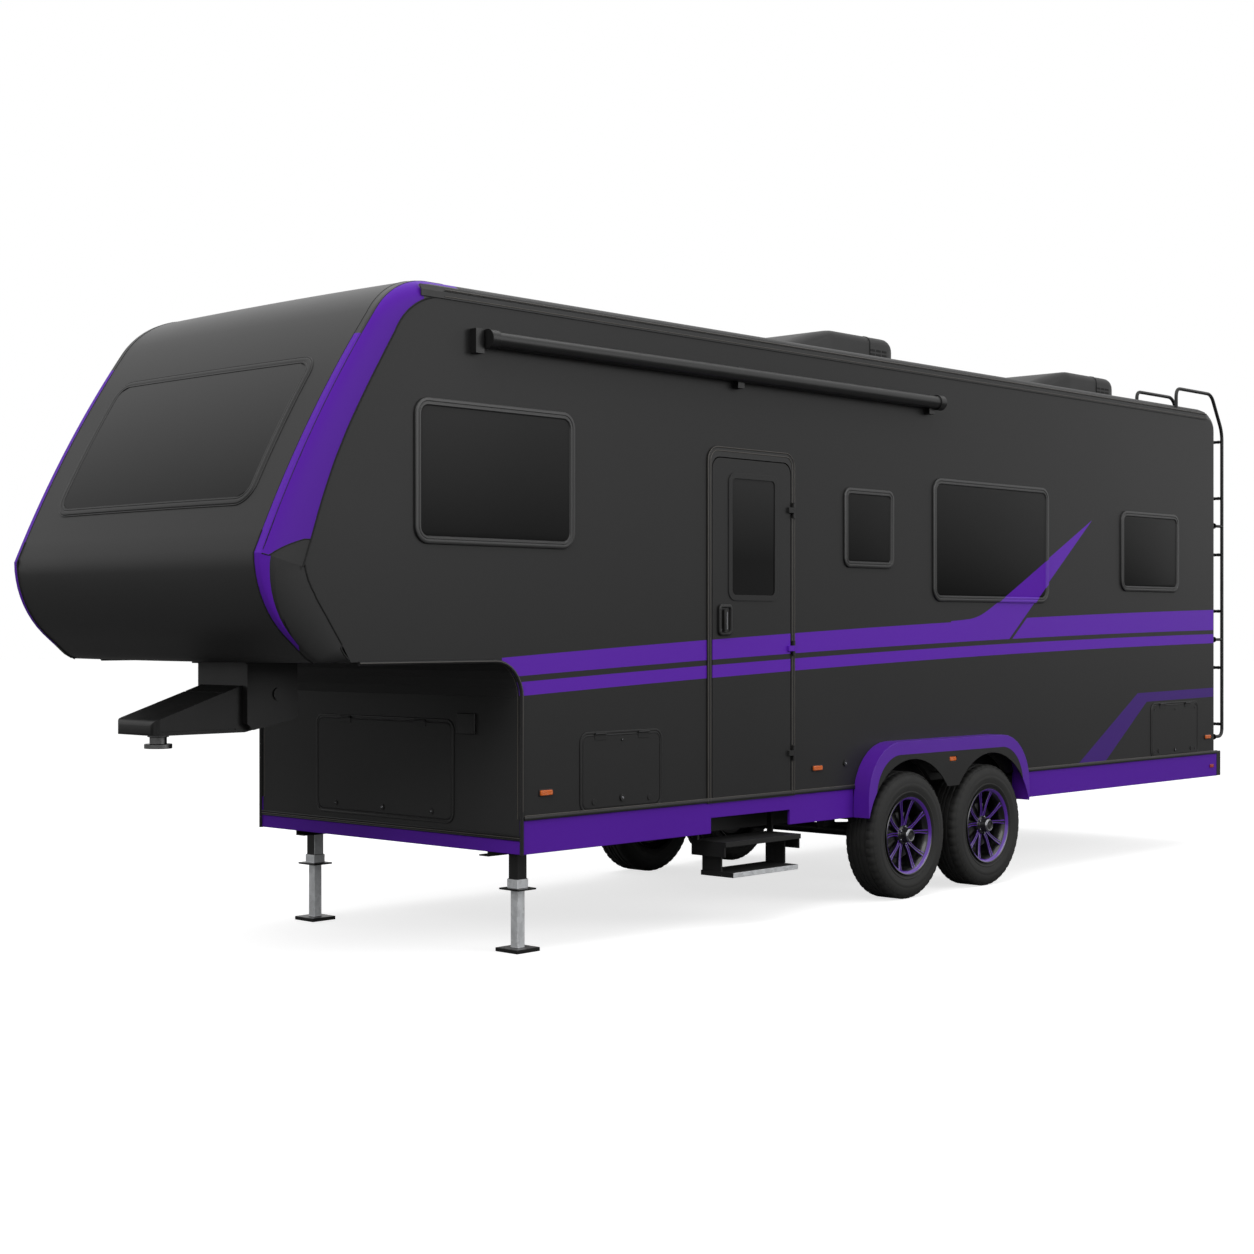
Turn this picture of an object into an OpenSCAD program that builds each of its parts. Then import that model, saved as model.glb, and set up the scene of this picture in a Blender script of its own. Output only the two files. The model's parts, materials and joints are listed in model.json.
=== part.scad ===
// Fifth wheel trailer, in millimetres: X forward, Y to the left, Z up, the ground at Z = 0.
// Each sub-part is built in stations, measured forward from the rear wall, and then placed about its middle.

/* [Body] */
// Length of the lower body, from the rear wall to the front bulkhead
body_l = 8000; // [7800:10:8400]
// Length of the nose ahead of the bulkhead
nose_l = 1720; // [1600:10:1900]
// Width over the side walls
body_w = 2300; // [2200:10:2400]
// Height of the roof's crown
roof_z = 3600; // [3500:10:3700]
// Height of the nose's underside
overhang_z = 1615; // [1560:5:1660]
// Height of the floor's underside and of the walls' lower edge
floor_z = 760; // [740:5:780]
// Thickness of the walls
wall_t = 34; // [28:1:40]
// Thickness of the roof
roof_t = 50; // [40:1:60]
// Thickness of the floors
floor_t = 55; // [45:1:70]

/* [Nose] */
// How far the roof's crown falls to the side walls
eaves_drop = 100; // [80:5:120]
// Width of the roof's rounded edges, seen from the front
corner_w = 110; // [90:5:140]
// Width of the nose's crisper corners, seen from the front
nose_corner_w = 46; // [40:2:80]
// How much the nose and the rear bow out over the width
face_crown = 8; // [6:1:40]
// Radius of the nose's lower curve
chin_r = 540; // [480:10:560]
// Radius of the curve from the nose to the roof
brow_r = 500; // [400:10:560]
// Distance from the nose's tip back to where the roof begins
brow_l = 1108; // [1060:10:1200]
// Lean of the nose under the brow, in degrees
brow_lean = 35.5; // [32:0.5:38]
// Radius of the cove between the bulkhead and the nose floor
cove_r = 200; // [140:10:240]
// Radius of the rear wall's top edge
rear_top_r = 190; // [150:10:240]

/* [Windows] */
// Height of the nose window's lower edge
nose_win_z = 2400; // [2370:5:2430]
// Distance from the nose window's frame to the side walls
nose_win_side = 265; // [250:5:350]
// Height of the nose window's frame, along the slope
nose_win_h = 870; // [800:10:880]
// Width of the side windows' frames
frame_w = 44; // [30:1:50]
// How far the window frames stand out
frame_out = 14; // [8:1:20]
// Thickness of the glass
glass_t = 6; // [4:1:8]

/* [Door] */
// Distance from the bulkhead back to the door frame's rear edge
door_back = 2358; // [2300:2:2440]
// Width of the door frame
door_w = 832; // [780:2:860]
// Height of the door frame
door_h = 2120; // [2000:5:2150]
// Width of the door frame's flange
door_rim = 40; // [30:1:48]
// Thickness of the door leaf
door_t = 40; // [34:1:46]
// Running gap round the doors
door_gap = 6; // [5:0.5:8]

/* [Hatches] */
// Thickness of the hatch leaves
hatch_t = 30; // [22:1:32]
// Width of the hatch frames' flange
hatch_rim = 22; // [18:1:26]
// Diameter of the hatch hinges
hinge_d = 12; // [10:1:14]

/* [Wheels] */
// Tyre diameter
tyre_d = 842; // [800:2:860]
// Tyre width
tyre_w = 244; // [220:2:250]
// Wheel flange diameter
rim_d = 522; // [500:2:540]
// Distance between the axles
axle_gap = 945; // [920:5:980]
// Distance from the door frame back to the axles' middle
axle_back = 1582; // [1540:2:1620]
// How far the tyres stand out past the side walls
tyre_stand = 106; // [100:1:110]
// Pairs of spokes
spoke_pairs = 5; // [4:1:6]

/* [Arches] */
// How far the wheel arches stand out
arch_out = 125; // [120:1:140]
// Radius of the arch opening round each wheel
arch_r = 505; // [495:5:515]
// Half length of the wheel arch
arch_half = 962; // [950:2:980]
// Height of the wheel arch
arch_z = 1045; // [1030:5:1060]
// Thickness of the arch moulding
arch_t = 8; // [6:1:10]

/* [Chassis] */
// Height of the chassis rails
rail_h = 225; // [200:5:240]
// Distance from the side walls in to the rails' outer face
rail_in = 300; // [290:2:320]
// Width of the rails' flanges
rail_b = 75; // [60:1:90]
// Thickness of the rails
rail_t = 8; // [6:1:10]
// Distance from the bulkhead back to the landing legs
leg_back = 215; // [180:5:240]
// Size of the square legs
leg_size = 72; // [64:1:80]
// Height of the skirts' lower edge
skirt_z = 568; // [550:2:600]
// Thickness of the skirts
skirt_t = 20; // [12:1:24]

/* [Coupling] */
// Distance from the bulkhead forward to the kingpin
pin_fore = 1525; // [1490:5:1560]
// Height of the pin box's underside
pin_z = 1238; // [1220:2:1250]
// Kingpin neck diameter
pin_d = 89; // [88:0.1:90]
// Kingpin flange diameter
pin_flange_d = 144; // [120:1:150]
// Half width of the pin box
box_half = 180; // [160:2:190]

/* [Fittings] */
// Awning case diameter
awning_d = 86; // [70:1:96]
// Ladder tube diameter
ladder_d = 28; // [22:1:32]
// Distance from the rear wall to the ladder's tubes
ladder_out = 150; // [110:5:170]
// Air conditioner length
cooler_l = 1300; // [1200:10:1400]
// Air conditioner width
cooler_w = 680; // [600:10:720]
// Air conditioner height
cooler_h = 300; // [240:5:330]

/* [Hidden] */
$fn = 48;
half_w = body_w / 2;
nose_win_w = body_w - 2 * nose_win_side;
door_st = body_l - door_back;
axle_st = door_st - axle_back;
tyre_out = half_w + tyre_stand;
rail_y = half_w - rail_in;
tip_st = body_l + nose_l;
ladder_back = ladder_out + ladder_d / 2;
mid_st = (tip_st - ladder_back) / 2;
eaves_z = roof_z - eaves_drop;
wheel_st = [axle_st + axle_gap / 2, axle_st - axle_gap / 2];
hub_z = tyre_d / 2;
hair = 0.3;
arch_bottom_z = skirt_z;
rail_z = floor_z - rail_h;

// Body colours
shell_grey = "#3a3a3d";
trim_purple = "#5c2896";
trim_black = "#141415";
frame_black = "#1b1b1c";
metal = "#a8aaad";

// Points on an arc from angle a0 to a1 in n steps
function arc(c, r, a0, a1, n) = [for (i = [0:n]) let (a = a0 + (a1 - a0) * i / n) c + r * [cos(a), sin(a)]];
// A rounded rectangle between two corners
function round_rect(x0, y0, x1, y1, r) = concat(
    arc([x1 - r, y0 + r], r, -90, 0, 4), arc([x1 - r, y1 - r], r, 0, 90, 4),
    arc([x0 + r, y1 - r], r, 90, 180, 4), arc([x0 + r, y0 + r], r, 180, 270, 4));
// Points of a shallow bow from a to b that rises by sag, without its first point
function bow(a, b, sag, n) = let (d = b - a, up = [d[1], -d[0]] / norm(d))
    [for (i = [1:n]) let (t = i / n) a + t * d + 4 * sag * t * (1 - t) * up];
// Unit vector that points out of a path on its left, at point i
function out_of(path, i) = let (a = path[max(i - 1, 0)], b = path[min(i + 1, len(path) - 1)], d = b - a)
    [d[1], -d[0]] / norm(d);
// A skin holds, for each point of a path in side view, the point, the direction out of the body there, and the
// depth and the width of the rounded corner; its seam is the line where that corner meets the side wall
function seam_of(skin) = [for (s = skin) s[0] - s[2] * s[1]];

// The nose in side view, from its lower rear edge round the tip to the roof
chin_c = [tip_st - chin_r, overhang_z + chin_r];
brow_c = [tip_st - brow_l, roof_z - brow_r];
brow_start = brow_c + brow_r * [cos(brow_lean), sin(brow_lean)];
chin_n = 9;
face_n = 7;
brow_n = 6;
// The chin's points and its seam's, from the underside's front edge up to where the chin's arc begins
chin_edge = [chin_c[0], overhang_z];
chin_foot = [[0, 0], [180, 0], [225, 23], [287, 76]];
chin_seam = [[0, 6], [52, 90], [105, 166], [152, 234], [200, 302]];
chin_start = -50;
cap_lap = 180;
nose_path = concat(
    [for (p = chin_foot) chin_edge + p],
    arc(chin_c, chin_r, chin_start, 0, chin_n - len(chin_foot)),
    bow(chin_c + [chin_r, 0], brow_start, 37, face_n),
    [for (i = [1:brow_n]) brow_c + brow_r * [cos(brow_lean + (90 - brow_lean) * i / brow_n),
                                             sin(brow_lean + (90 - brow_lean) * i / brow_n)]],
    [[brow_c[0] - cap_lap, roof_z]]);
nose_n = len(nose_path);
// The rounded corner along the nose, as [point, depth] and [point, width]: crisp up the face, as the roof's beyond
nose_depth_at = [[5, 243], [6, 246], [9, 252], [10, 236], [11, 212], [12, 192], [13, 180], [15, 168], [19, 130],
                 [22, eaves_drop]];
nose_corner_at = [[0, nose_corner_w], [16, nose_corner_w], [22, corner_w]];
nose_skin = [for (i = [0:nose_n - 1]) let (p = nose_path[i], width = lookup(i, nose_corner_at))
    i < len(chin_seam)
        ? let (d = p - chin_edge - chin_seam[i]) [p, d / norm(d), norm(d), width]
        : [p, out_of(nose_path, i), lookup(i, nose_depth_at), width]];
nose_seam = seam_of(nose_skin);
// Point of the nose path where the purple corner moulding begins
moulding_i = chin_n;

// The rear wall in side view, from its foot to the roof
rear_depth = 60;
rear_n = 6;
rear_path = concat(
    [[brow_c[0] - cap_lap - 1000, roof_z]],
    arc([rear_top_r, roof_z - rear_top_r], rear_top_r, 90, 180, rear_n),
    [[0, (roof_z + floor_z) / 2], [0, floor_z]]);
rear_depth_at = [[1, eaves_drop], [rear_n, rear_depth]];
rear_skin = [for (i = [0:len(rear_path) - 1]) [rear_path[i], out_of(rear_path, i), lookup(i, rear_depth_at), corner_w]];
rear_seam = seam_of(rear_skin);

// Sections across the body, as [distance from the centre plane, depth below the path]
corner_k = 5;
face_k = 4;
function section(depth, t, corner) = let (face = half_w - corner, rim = min(face_crown, depth * 0.4)) concat(
    [for (k = [0:face_k]) [face * k / face_k, t + rim * pow(k / face_k, 2)]],
    [for (k = [1:corner_k]) let (a = 90 * k / corner_k)
        [face + (corner - t) * sin(a), rim + t * cos(a) + (depth - rim) * (1 - cos(a))]]);
// One row of points across the body, from the right to the left, at depth t under a point of a skin
function row(s, t) = let (half = section(s[2], t, s[3]), n = len(half))
    [for (k = [1 - n:n - 1]) let (h = half[abs(k)])
        [s[0][0] - h[1] * s[1][0], sign(k) * h[0], s[0][1] - h[1] * s[1][1]]];
last_k = 2 * (face_k + corner_k);

// A shell between two stacks of rows, from column k0 to k1
module shell(outer, inner, k0, k1) {
    n = len(outer);
    m = k1 - k0 + 1;
    points = concat(
        [for (r = outer) for (k = [k0:k1]) r[k]],
        [for (r = inner) for (k = [k0:k1]) r[k]]);
    function id(s, i, k) = s * n * m + i * m + k;
    faces = concat(
        [for (i = [0:n - 2]) for (k = [0:m - 2]) for (f = [0, 1])
            f == 0 ? [id(0, i, k), id(0, i, k + 1), id(0, i + 1, k + 1)]
                   : [id(0, i, k), id(0, i + 1, k + 1), id(0, i + 1, k)]],
        [for (i = [0:n - 2]) for (k = [0:m - 2]) for (f = [0, 1])
            f == 0 ? [id(1, i, k), id(1, i + 1, k + 1), id(1, i, k + 1)]
                   : [id(1, i, k), id(1, i + 1, k), id(1, i + 1, k + 1)]],
        [for (i = [0:n - 2]) for (f = [0, 1])
            f == 0 ? [id(0, i, 0), id(0, i + 1, 0), id(1, i + 1, 0), id(1, i, 0)]
                   : [id(0, i, m - 1), id(1, i, m - 1), id(1, i + 1, m - 1), id(0, i + 1, m - 1)]],
        [for (k = [0:m - 2]) for (f = [0, 1])
            f == 0 ? [id(0, 0, k), id(1, 0, k), id(1, 0, k + 1), id(0, 0, k + 1)]
                   : [id(0, n - 1, k), id(0, n - 1, k + 1), id(1, n - 1, k + 1), id(1, n - 1, k)]]);
    polyhedron(points, faces, convexity = 6);
}

// A shell along a skin, from depth t0 to t1
module skin_shell(skin, t0, t1, i0, i1, k0, k1) {
    shell([for (i = [i0:i1]) row(skin[i], t0)], [for (i = [i0:i1]) row(skin[i], t1)], k0, k1);
}

// Moves a sub-part from stations to the middle of the trailer
module placed() translate([-mid_st, 0, 0]) children();
// Extrudes an outline drawn in station and height from y0 to y1
module across(y0, y1) translate([0, y1, 0]) rotate([90, 0, 0]) linear_extrude(y1 - y0) children();
// Extrudes an outline drawn in Y and height from station x0 to x1
module along(x0, x1) translate([x0, 0, 0]) rotate([90, 0, 90]) linear_extrude(x1 - x0) children();
module box(a, b) translate(a) cube(b - a);
module both_sides() {
    children();
    mirror([0, 1, 0]) children();
}

// Side windows, as [station from, height from, station to, height to, corner radius]; the first follows the nose,
// and the others keep their share of the wall behind the door
window_r = 90;
side_windows = [
    [body_l - 399, 2224, body_l + 768, 2978, window_r],
    [door_st * 0.8128, 2180, door_st * 0.9092, 2696, 60],
    [door_st * 0.4690, 1970, door_st * 0.7317, 2811, window_r],
    [door_st * 0.1188, 2073, door_st * 0.2818, 2695, 80],
];
function window_outline(w, inset) = round_rect(w[0] + inset, w[1] + inset, w[2] - inset, w[3] - inset,
                                               max(w[4] - inset, 20));

// Hatches in the side walls, as [station of the middle, height of the lower edge, width, height]
baggage_hatch = [(door_st + door_w + body_l) / 2 - 22, 782, 640, 408];
rear_hatch = [door_st * 0.128, 778, 740, 398];
front_hatch_size = [0, 722, 1176, 540];
hatch_corner_r = 40;
door_foot_z = floor_z - 12;
leaf_w = door_w - 2 * door_rim;
leaf_h = door_h - door_rim - 22;

// The side wall in side view
module wall_outline() {
    under = [body_l + cove_r, overhang_z];
    polygon(concat(
        [[body_l, floor_z]],
        arc(under - [0, cove_r], cove_r, 180, 90, 6),
        [for (p = nose_seam) p],
        [for (p = rear_seam) p]));
}

// The wheel opening: a circle round each wheel, with a drop between them
tab_half = 78;
tab_z = 812;
module wheel_opening(grow) {
    difference() {
        union() {
            for (x = wheel_st) translate([x, hub_z]) circle(arch_r + grow, $fn = 64);
            translate([axle_st - axle_gap / 2, 0]) square([axle_gap, hub_z + arch_r * 0.6]);
        }
        translate([axle_st - tab_half, tab_z]) square([2 * tab_half, arch_z]);
    }
}
module arch_outline(inset) {
    r = 353 - inset;
    top = arch_z - inset;
    half = arch_half - inset;
    polygon(concat(
        [[axle_st - half, arch_bottom_z], [axle_st + half, arch_bottom_z]],
        arc([axle_st + half - r, top - r], r, 0, 90, 8),
        arc([axle_st - half + r, top - r], r, 90, 180, 8)));
}

module side_wall(with_door) {
    across(half_w - wall_t, half_w) difference() {
        wall_outline();
        for (w = side_windows) polygon(window_outline(w, frame_w / 2));
        for (h = [baggage_hatch, rear_hatch])
            translate([h[0], h[1]]) polygon(hatch_outline(h, hatch_neck));
        if (with_door) translate([door_st + door_rim - door_neck, floor_z - 1])
            square([leaf_w + 2 * door_neck, leaf_h + door_neck]);
        intersection() {
            wheel_opening(10);
            arch_outline(arch_t + 6);
        }
    }
}
module side_wall_left() color(shell_grey) placed() side_wall(true);
module side_wall_right() color(shell_grey) placed() mirror([0, 1, 0]) side_wall(false);

module rear_wall() color(shell_grey) placed()
    skin_shell(rear_skin, 0, wall_t, 1, len(rear_path) - 1, 0, last_k);

module roof() color(shell_grey) placed() {
    outer = section(eaves_drop, 0, corner_w);
    inner = section(eaves_drop, roof_t, corner_w);
    n = len(outer);
    along(rear_top_r + hair, brow_c[0] - cap_lap - hair) polygon(concat(
        [for (k = [1 - n:n - 1]) [sign(k) * outer[abs(k)][0], roof_z - outer[abs(k)][1]]],
        [for (k = [n - 1:-1:1 - n]) [sign(k) * inner[abs(k)][0], roof_z - inner[abs(k)][1]]]));
}

// The nose window lies on the nose's slope
nose_win_lean = atan2(chin_c[0] + chin_r - brow_start[0], brow_start[1] - chin_c[1]);
module on_nose() {
    h = nose_win_z + nose_win_h / 2 * cos(nose_win_lean);
    path_x = lookup(h, [for (i = [chin_n:chin_n + face_n]) [nose_path[i][1], nose_path[i][0]]]);
    translate([path_x, 0, h]) rotate([0, -nose_win_lean, 0]) children();
}
// The nose window's outline, cut square through the cap
nose_win_r = 110;
module nose_window_cut(inset) {
    w = nose_win_w / 2 - inset;
    h = nose_win_h / 2 - inset;
    on_nose() along(-120, 120) polygon(round_rect(-w, -h, w, h, max(nose_win_r - inset, 30)));
}
// That outline of a band along the face, from one height over its middle down to another
function lift(i, h) = nose_skin[i][0] + h * nose_skin[i][1];
module nose_window(inset, up, down) intersection() {
    nose_window_cut(inset);
    across(-half_w, half_w) polygon(concat(
        [for (i = [chin_n:chin_n + face_n]) lift(i, up)],
        [for (i = [chin_n + face_n:-1:chin_n]) lift(i, down)]));
}

module nose_cap() color(shell_grey) placed() difference() {
    union() {
        skin_shell(nose_skin, 0, wall_t, 0, nose_n - 1, corner_k, last_k - corner_k);
        skin_shell(nose_skin, 0, wall_t, 0, moulding_i, 0, corner_k);
        skin_shell(nose_skin, 0, wall_t, 0, moulding_i, last_k - corner_k, last_k);
    }
    nose_window_cut(frame_w / 2);
}
module nose_corners() color(trim_purple) placed() {
    skin_shell(nose_skin, 0, wall_t, moulding_i, nose_n - 1, 0, corner_k);
    skin_shell(nose_skin, 0, wall_t, moulding_i, nose_n - 1, last_k - corner_k, last_k);
}

inner_half = half_w - wall_t - hair;
module nose_floor() color(shell_grey) placed() across(-inner_half, inner_half) {
    cove_c = [body_l + cove_r, overhang_z - cove_r];
    polygon(concat(arc(cove_c, cove_r, 180, 90, 6), arc(cove_c, cove_r + floor_t, 90, 180, 6)));
    translate([cove_c[0] + hair, overhang_z]) square([chin_edge[0] - cove_c[0] - 2 * hair, floor_t]);
}

bulk_foot_z = 642;
skirt_half = half_w - skirt_t - hair;
module front_bulkhead() color(shell_grey) placed() difference() {
    union() {
        box([body_l - wall_t, -inner_half, floor_z - hair], [body_l, inner_half, overhang_z - cove_r - hair]);
        box([body_l - wall_t, -skirt_half, bulk_foot_z], [body_l, skirt_half, floor_z - hair]);
    }
    on_front(front_hatch_size) across(-wall_t - 1, 1) polygon(hatch_outline(front_hatch_size, hatch_neck));
}

wheel_box_y = tyre_out - tyre_w - 47;
wheel_box_z = 985;
wheel_box_t = 12;
wheel_box_half = arch_half + 4;
module floor() color(frame_black) placed() difference() {
    box([max(face_crown + wall_t, rear_depth) + 8, -inner_half, floor_z],
        [body_l - wall_t - hair, inner_half, floor_z + floor_t]);
    both_sides() box([axle_st - wheel_box_half, wheel_box_y, floor_z - 1],
                     [axle_st + wheel_box_half, half_w, floor_z + floor_t + 1]);
}
module wheel_boxes() color(frame_black) placed() both_sides() difference() {
    box([axle_st - wheel_box_half + hair, wheel_box_y + hair, floor_z],
        [axle_st + wheel_box_half - hair, inner_half, wheel_box_z]);
    box([axle_st - wheel_box_half + wheel_box_t, wheel_box_y + wheel_box_t, floor_z - 1],
        [axle_st + wheel_box_half - wheel_box_t, half_w, wheel_box_z - wheel_box_t]);
}

trim_out = 6;
trim_h = 52;
module eaves_trims() color(trim_black) placed() both_sides()
    along(rear_top_r, brow_c[0] + 110) polygon([
        [half_w + hair, eaves_z - 4], [half_w + trim_out, eaves_z - 4], [half_w + trim_out, eaves_z + 30],
        [half_w - 10, eaves_z + trim_h + 8], [half_w - 14, eaves_z + trim_h], [half_w + hair, eaves_z + 26]]);

notch_h = 92;
module skirts() color(trim_purple) placed() {
    top = floor_z - 5;
    out = half_w;
    both_sides() {
        box([0, out - skirt_t, skirt_z], [axle_st - arch_half - hair, out, top]);
        box([axle_st + arch_half + hair, out - skirt_t, skirt_z], [door_st + door_rim, out, top]);
        box([door_st + door_rim, out - skirt_t, skirt_z + notch_h], [door_st + door_w - door_rim, out, top]);
        box([door_st + door_w - door_rim, out - skirt_t, skirt_z], [body_l, out, top]);
    }
    box([body_l - skirt_t, -skirt_half, skirt_z], [body_l, skirt_half, bulk_foot_z - hair]);
}

module wheel_arches() color(trim_purple) placed() both_sides() {
    difference() {
        across(half_w + hair, half_w + arch_out) arch_outline(0);
        across(half_w - 1, half_w + arch_out - arch_t) difference() {
            arch_outline(arch_t);
            translate([axle_st - tab_half, tab_z]) square([2 * tab_half, arch_t]);
        }
        across(half_w - 1, half_w + arch_out + 1) {
            wheel_opening(0);
            polygon(arch_lamp(hair));
        }
        translate([0, 0, arch_bottom_z - 1]) box([axle_st - arch_half + arch_t, half_w - 1, -1],
            [axle_st + arch_half - arch_t, half_w + arch_out + 1, 2]);
    }
}

cross_n = 7;
module chassis() color(frame_black) placed() {
    both_sides() along(60, body_l - wall_t - hair) polygon([
        [rail_y - rail_b, rail_z], [rail_y, rail_z], [rail_y, floor_z - hair], [rail_y - rail_b, floor_z - hair],
        [rail_y - rail_b, floor_z - rail_t], [rail_y - rail_t, floor_z - rail_t],
        [rail_y - rail_t, rail_z + rail_t], [rail_y - rail_b, rail_z + rail_t]]);
    for (i = [0:cross_n - 1]) {
        x = 100 + (body_l - 260) * i / (cross_n - 1);
        box([x, -rail_y + rail_t + hair, floor_z - 140], [x + 50, rail_y - rail_t - hair, floor_z - rail_t - hair]);
        both_sides() if (abs(x - axle_st) > arch_half && abs(x - leg_st) > 140)
            box([x, rail_y + hair, floor_z - 60], [x + 40, half_w - skirt_t - hair, floor_z - hair]);
    }
}

// Tandem leaf springs on the axles, held by three hangers on each rail
axle_d = 76;
spring_y = rail_y + 35;
spring_w = 50;
spring_half = axle_gap / 2 - 45;
spring_sag = 26;
leaf_n = 3;
leaf_t = 9;
pad_t = 8;
pack_z = hub_z + axle_d / 2 + hair + pad_t + leaf_n * leaf_t;
hanger_reach = 30;
module leaf(x, half, z) {
    sag = spring_sag * pow(half / spring_half, 2);
    upper = bow([x - half, z + sag], [x + half, z + sag], sag, 6);
    lower = bow([x - half, z + sag - leaf_t], [x + half, z + sag - leaf_t], sag, 6);
    polygon(concat([[x - half, z + sag]], upper, [for (k = [5:-1:0]) lower[k]], [[x - half, z + sag - leaf_t]]));
}
module suspension() color(frame_black) placed() both_sides() {
    across(spring_y - spring_w / 2, spring_y + spring_w / 2) for (x = wheel_st) {
        for (k = [0:leaf_n - 1]) leaf(x, spring_half - 95 * k, pack_z - leaf_t * k);
        translate([x - 45, pack_z - leaf_n * leaf_t - pad_t]) square([90, pad_t + leaf_n * leaf_t + 14]);
    }
    for (x = [wheel_st[1] - spring_half, axle_st, wheel_st[0] + spring_half])
        box([x - 58, rail_y + hair, pack_z + spring_sag - hanger_reach], [x + 58, spring_y + spring_w / 2, rail_z + 70]);
}

// Axle tubes with a backing plate behind each brake drum
drum_d = 330;
drum_in = tyre_out - tyre_w + 6;
plate_t = 8;
hub_gap = 5;
spindle_d = 44;
spindle_reach = 35;
spindle_l = tyre_out - tyre_w / 2 + spindle_reach - drum_in + 20;
module axles() color(frame_black) placed() for (x = wheel_st) translate([x, 0, hub_z]) rotate([90, 0, 0]) {
    cylinder(h = 2 * (drum_in - hub_gap), d = axle_d, center = true);
    for (s = [-1, 1]) {
        translate([0, 0, s * (drum_in - hub_gap - plate_t / 2)]) cylinder(h = plate_t, d = drum_d, center = true);
        translate([0, 0, s * (drum_in - 20 + spindle_l / 2)]) cylinder(h = spindle_l, d = spindle_d, center = true);
    }
}

// The pin box hangs under the nose floor and reaches forward over the kingpin
pin_st = body_l + pin_fore;
box_tip_st = pin_st + 145;
box_back_st = body_l + 790;
block_fore_st = body_l + 1120;
block_half = 222;
plate_drop = 14;
block_foot_z = 1490;
// The box in side view: a level foot, a blunt tip and a long slope up to the mounting block
tip_h = 84;
tip_slope = (block_foot_z - pin_z - tip_h) / (box_tip_st - block_fore_st);
module pin_box_side() {
    polygon(concat(
        [[box_back_st + 20, pin_z + 62], [pin_st - 420, pin_z]],
        arc([box_tip_st - 12, pin_z + 12], 12, -90, 0, 2),
        arc([box_tip_st - 34, pin_z + tip_h - 34], 34, 0, 62, 4),
        [[block_fore_st + 10, block_foot_z - 4], [box_back_st + 20, block_foot_z - 4]]));
}
// The box in plan, with rounded front corners
module pin_box_plan() {
    r = 42;
    polygon(concat(
        [[box_back_st, -box_half]], arc([box_tip_st - r, r - box_half], r, -90, 0, 5),
        arc([box_tip_st - r, box_half - r], r, 0, 90, 5), [[box_back_st, box_half]]));
}
module pin_box() color(trim_black) placed() {
    // Mounting plate and block, and the pair of cheeks behind the box
    box([box_back_st - 20, -block_half - 20, overhang_z - plate_drop],
        [block_fore_st + 26, block_half + 20, overhang_z - hair]);
    box([box_back_st, -block_half, block_foot_z - 6], [block_fore_st, block_half, overhang_z - plate_drop]);
    both_sides() across(box_half + hair, block_half) polygon([
        [box_back_st, block_foot_z], [box_back_st, pin_z + 74], [box_back_st + 30, pin_z + 58],
        [box_back_st + 290, pin_z + 12], [block_fore_st, pin_z + 46], [block_fore_st, block_foot_z]]);
    difference() {
        intersection() {
            across(-box_half, box_half) pin_box_side();
            translate([0, 0, pin_z]) linear_extrude(overhang_z - pin_z) pin_box_plan();
        }
        // Grooves across the slope and along the foot of each side
        for (back = [250, 440]) translate([box_tip_st - back, -box_half, pin_z + tip_h - 6 + tip_slope * back])
            rotate([0, atan(tip_slope), 0]) cube([10, 2 * box_half, 60]);
        both_sides() box([pin_st - 360, box_half - 5, pin_z + 16], [box_tip_st + 1, box_half + 1, pin_z + 22]);
    }
    // Pivot bosses of the cheeks
    both_sides() across(block_half - 2, block_half + 9) translate([box_back_st + 130, block_foot_z - 52]) circle(34);
}
pin_neck_l = 36;
pin_flange_t = 24;
pin_shoulder_t = 14;
pin_len = pin_shoulder_t + pin_neck_l + pin_flange_t;
module kingpin() color(metal) placed() translate([pin_st, 0, pin_z - hair - pin_len]) {
    cylinder(h = pin_len, d = pin_d, $fn = 64);
    cylinder(h = pin_flange_t, d = pin_flange_d, $fn = 64);
    translate([0, 0, pin_len - pin_shoulder_t]) cylinder(h = pin_shoulder_t, d = pin_d + 22, $fn = 64);
}

// Landing legs: an outer tube on the rail, a flanged collar, an inner tube and a foot
leg_st = body_l - leg_back;
leg_y = rail_y + leg_size / 2 + 8;
leg_low_z = 372;
foot_half = 88;
foot_t = 22;
inner_size = leg_size - 16;
module centred(x, y, z0, z1, size) translate([x - size / 2, y - size / 2, z0]) cube([size, size, z1 - z0]);
module landing_legs() color(metal) placed() both_sides() {
    centred(leg_st, leg_y, leg_low_z, floor_z - hair, leg_size);
    centred(leg_st, leg_y, leg_low_z - 24, leg_low_z + 30, leg_size + 12);
    box([leg_st - 70, leg_y - 78, leg_low_z - 30], [leg_st + 70, leg_y + 78, leg_low_z - 20]);
    centred(leg_st, leg_y, foot_t, leg_low_z - 20, inner_size);
    box([leg_st - foot_half, leg_y - foot_half, 0], [leg_st + foot_half, leg_y + foot_half, foot_t]);
    box([leg_st - 60, rail_y + hair, rail_z + 20], [leg_st + 60, leg_y, rail_z + 170]);
}

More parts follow.
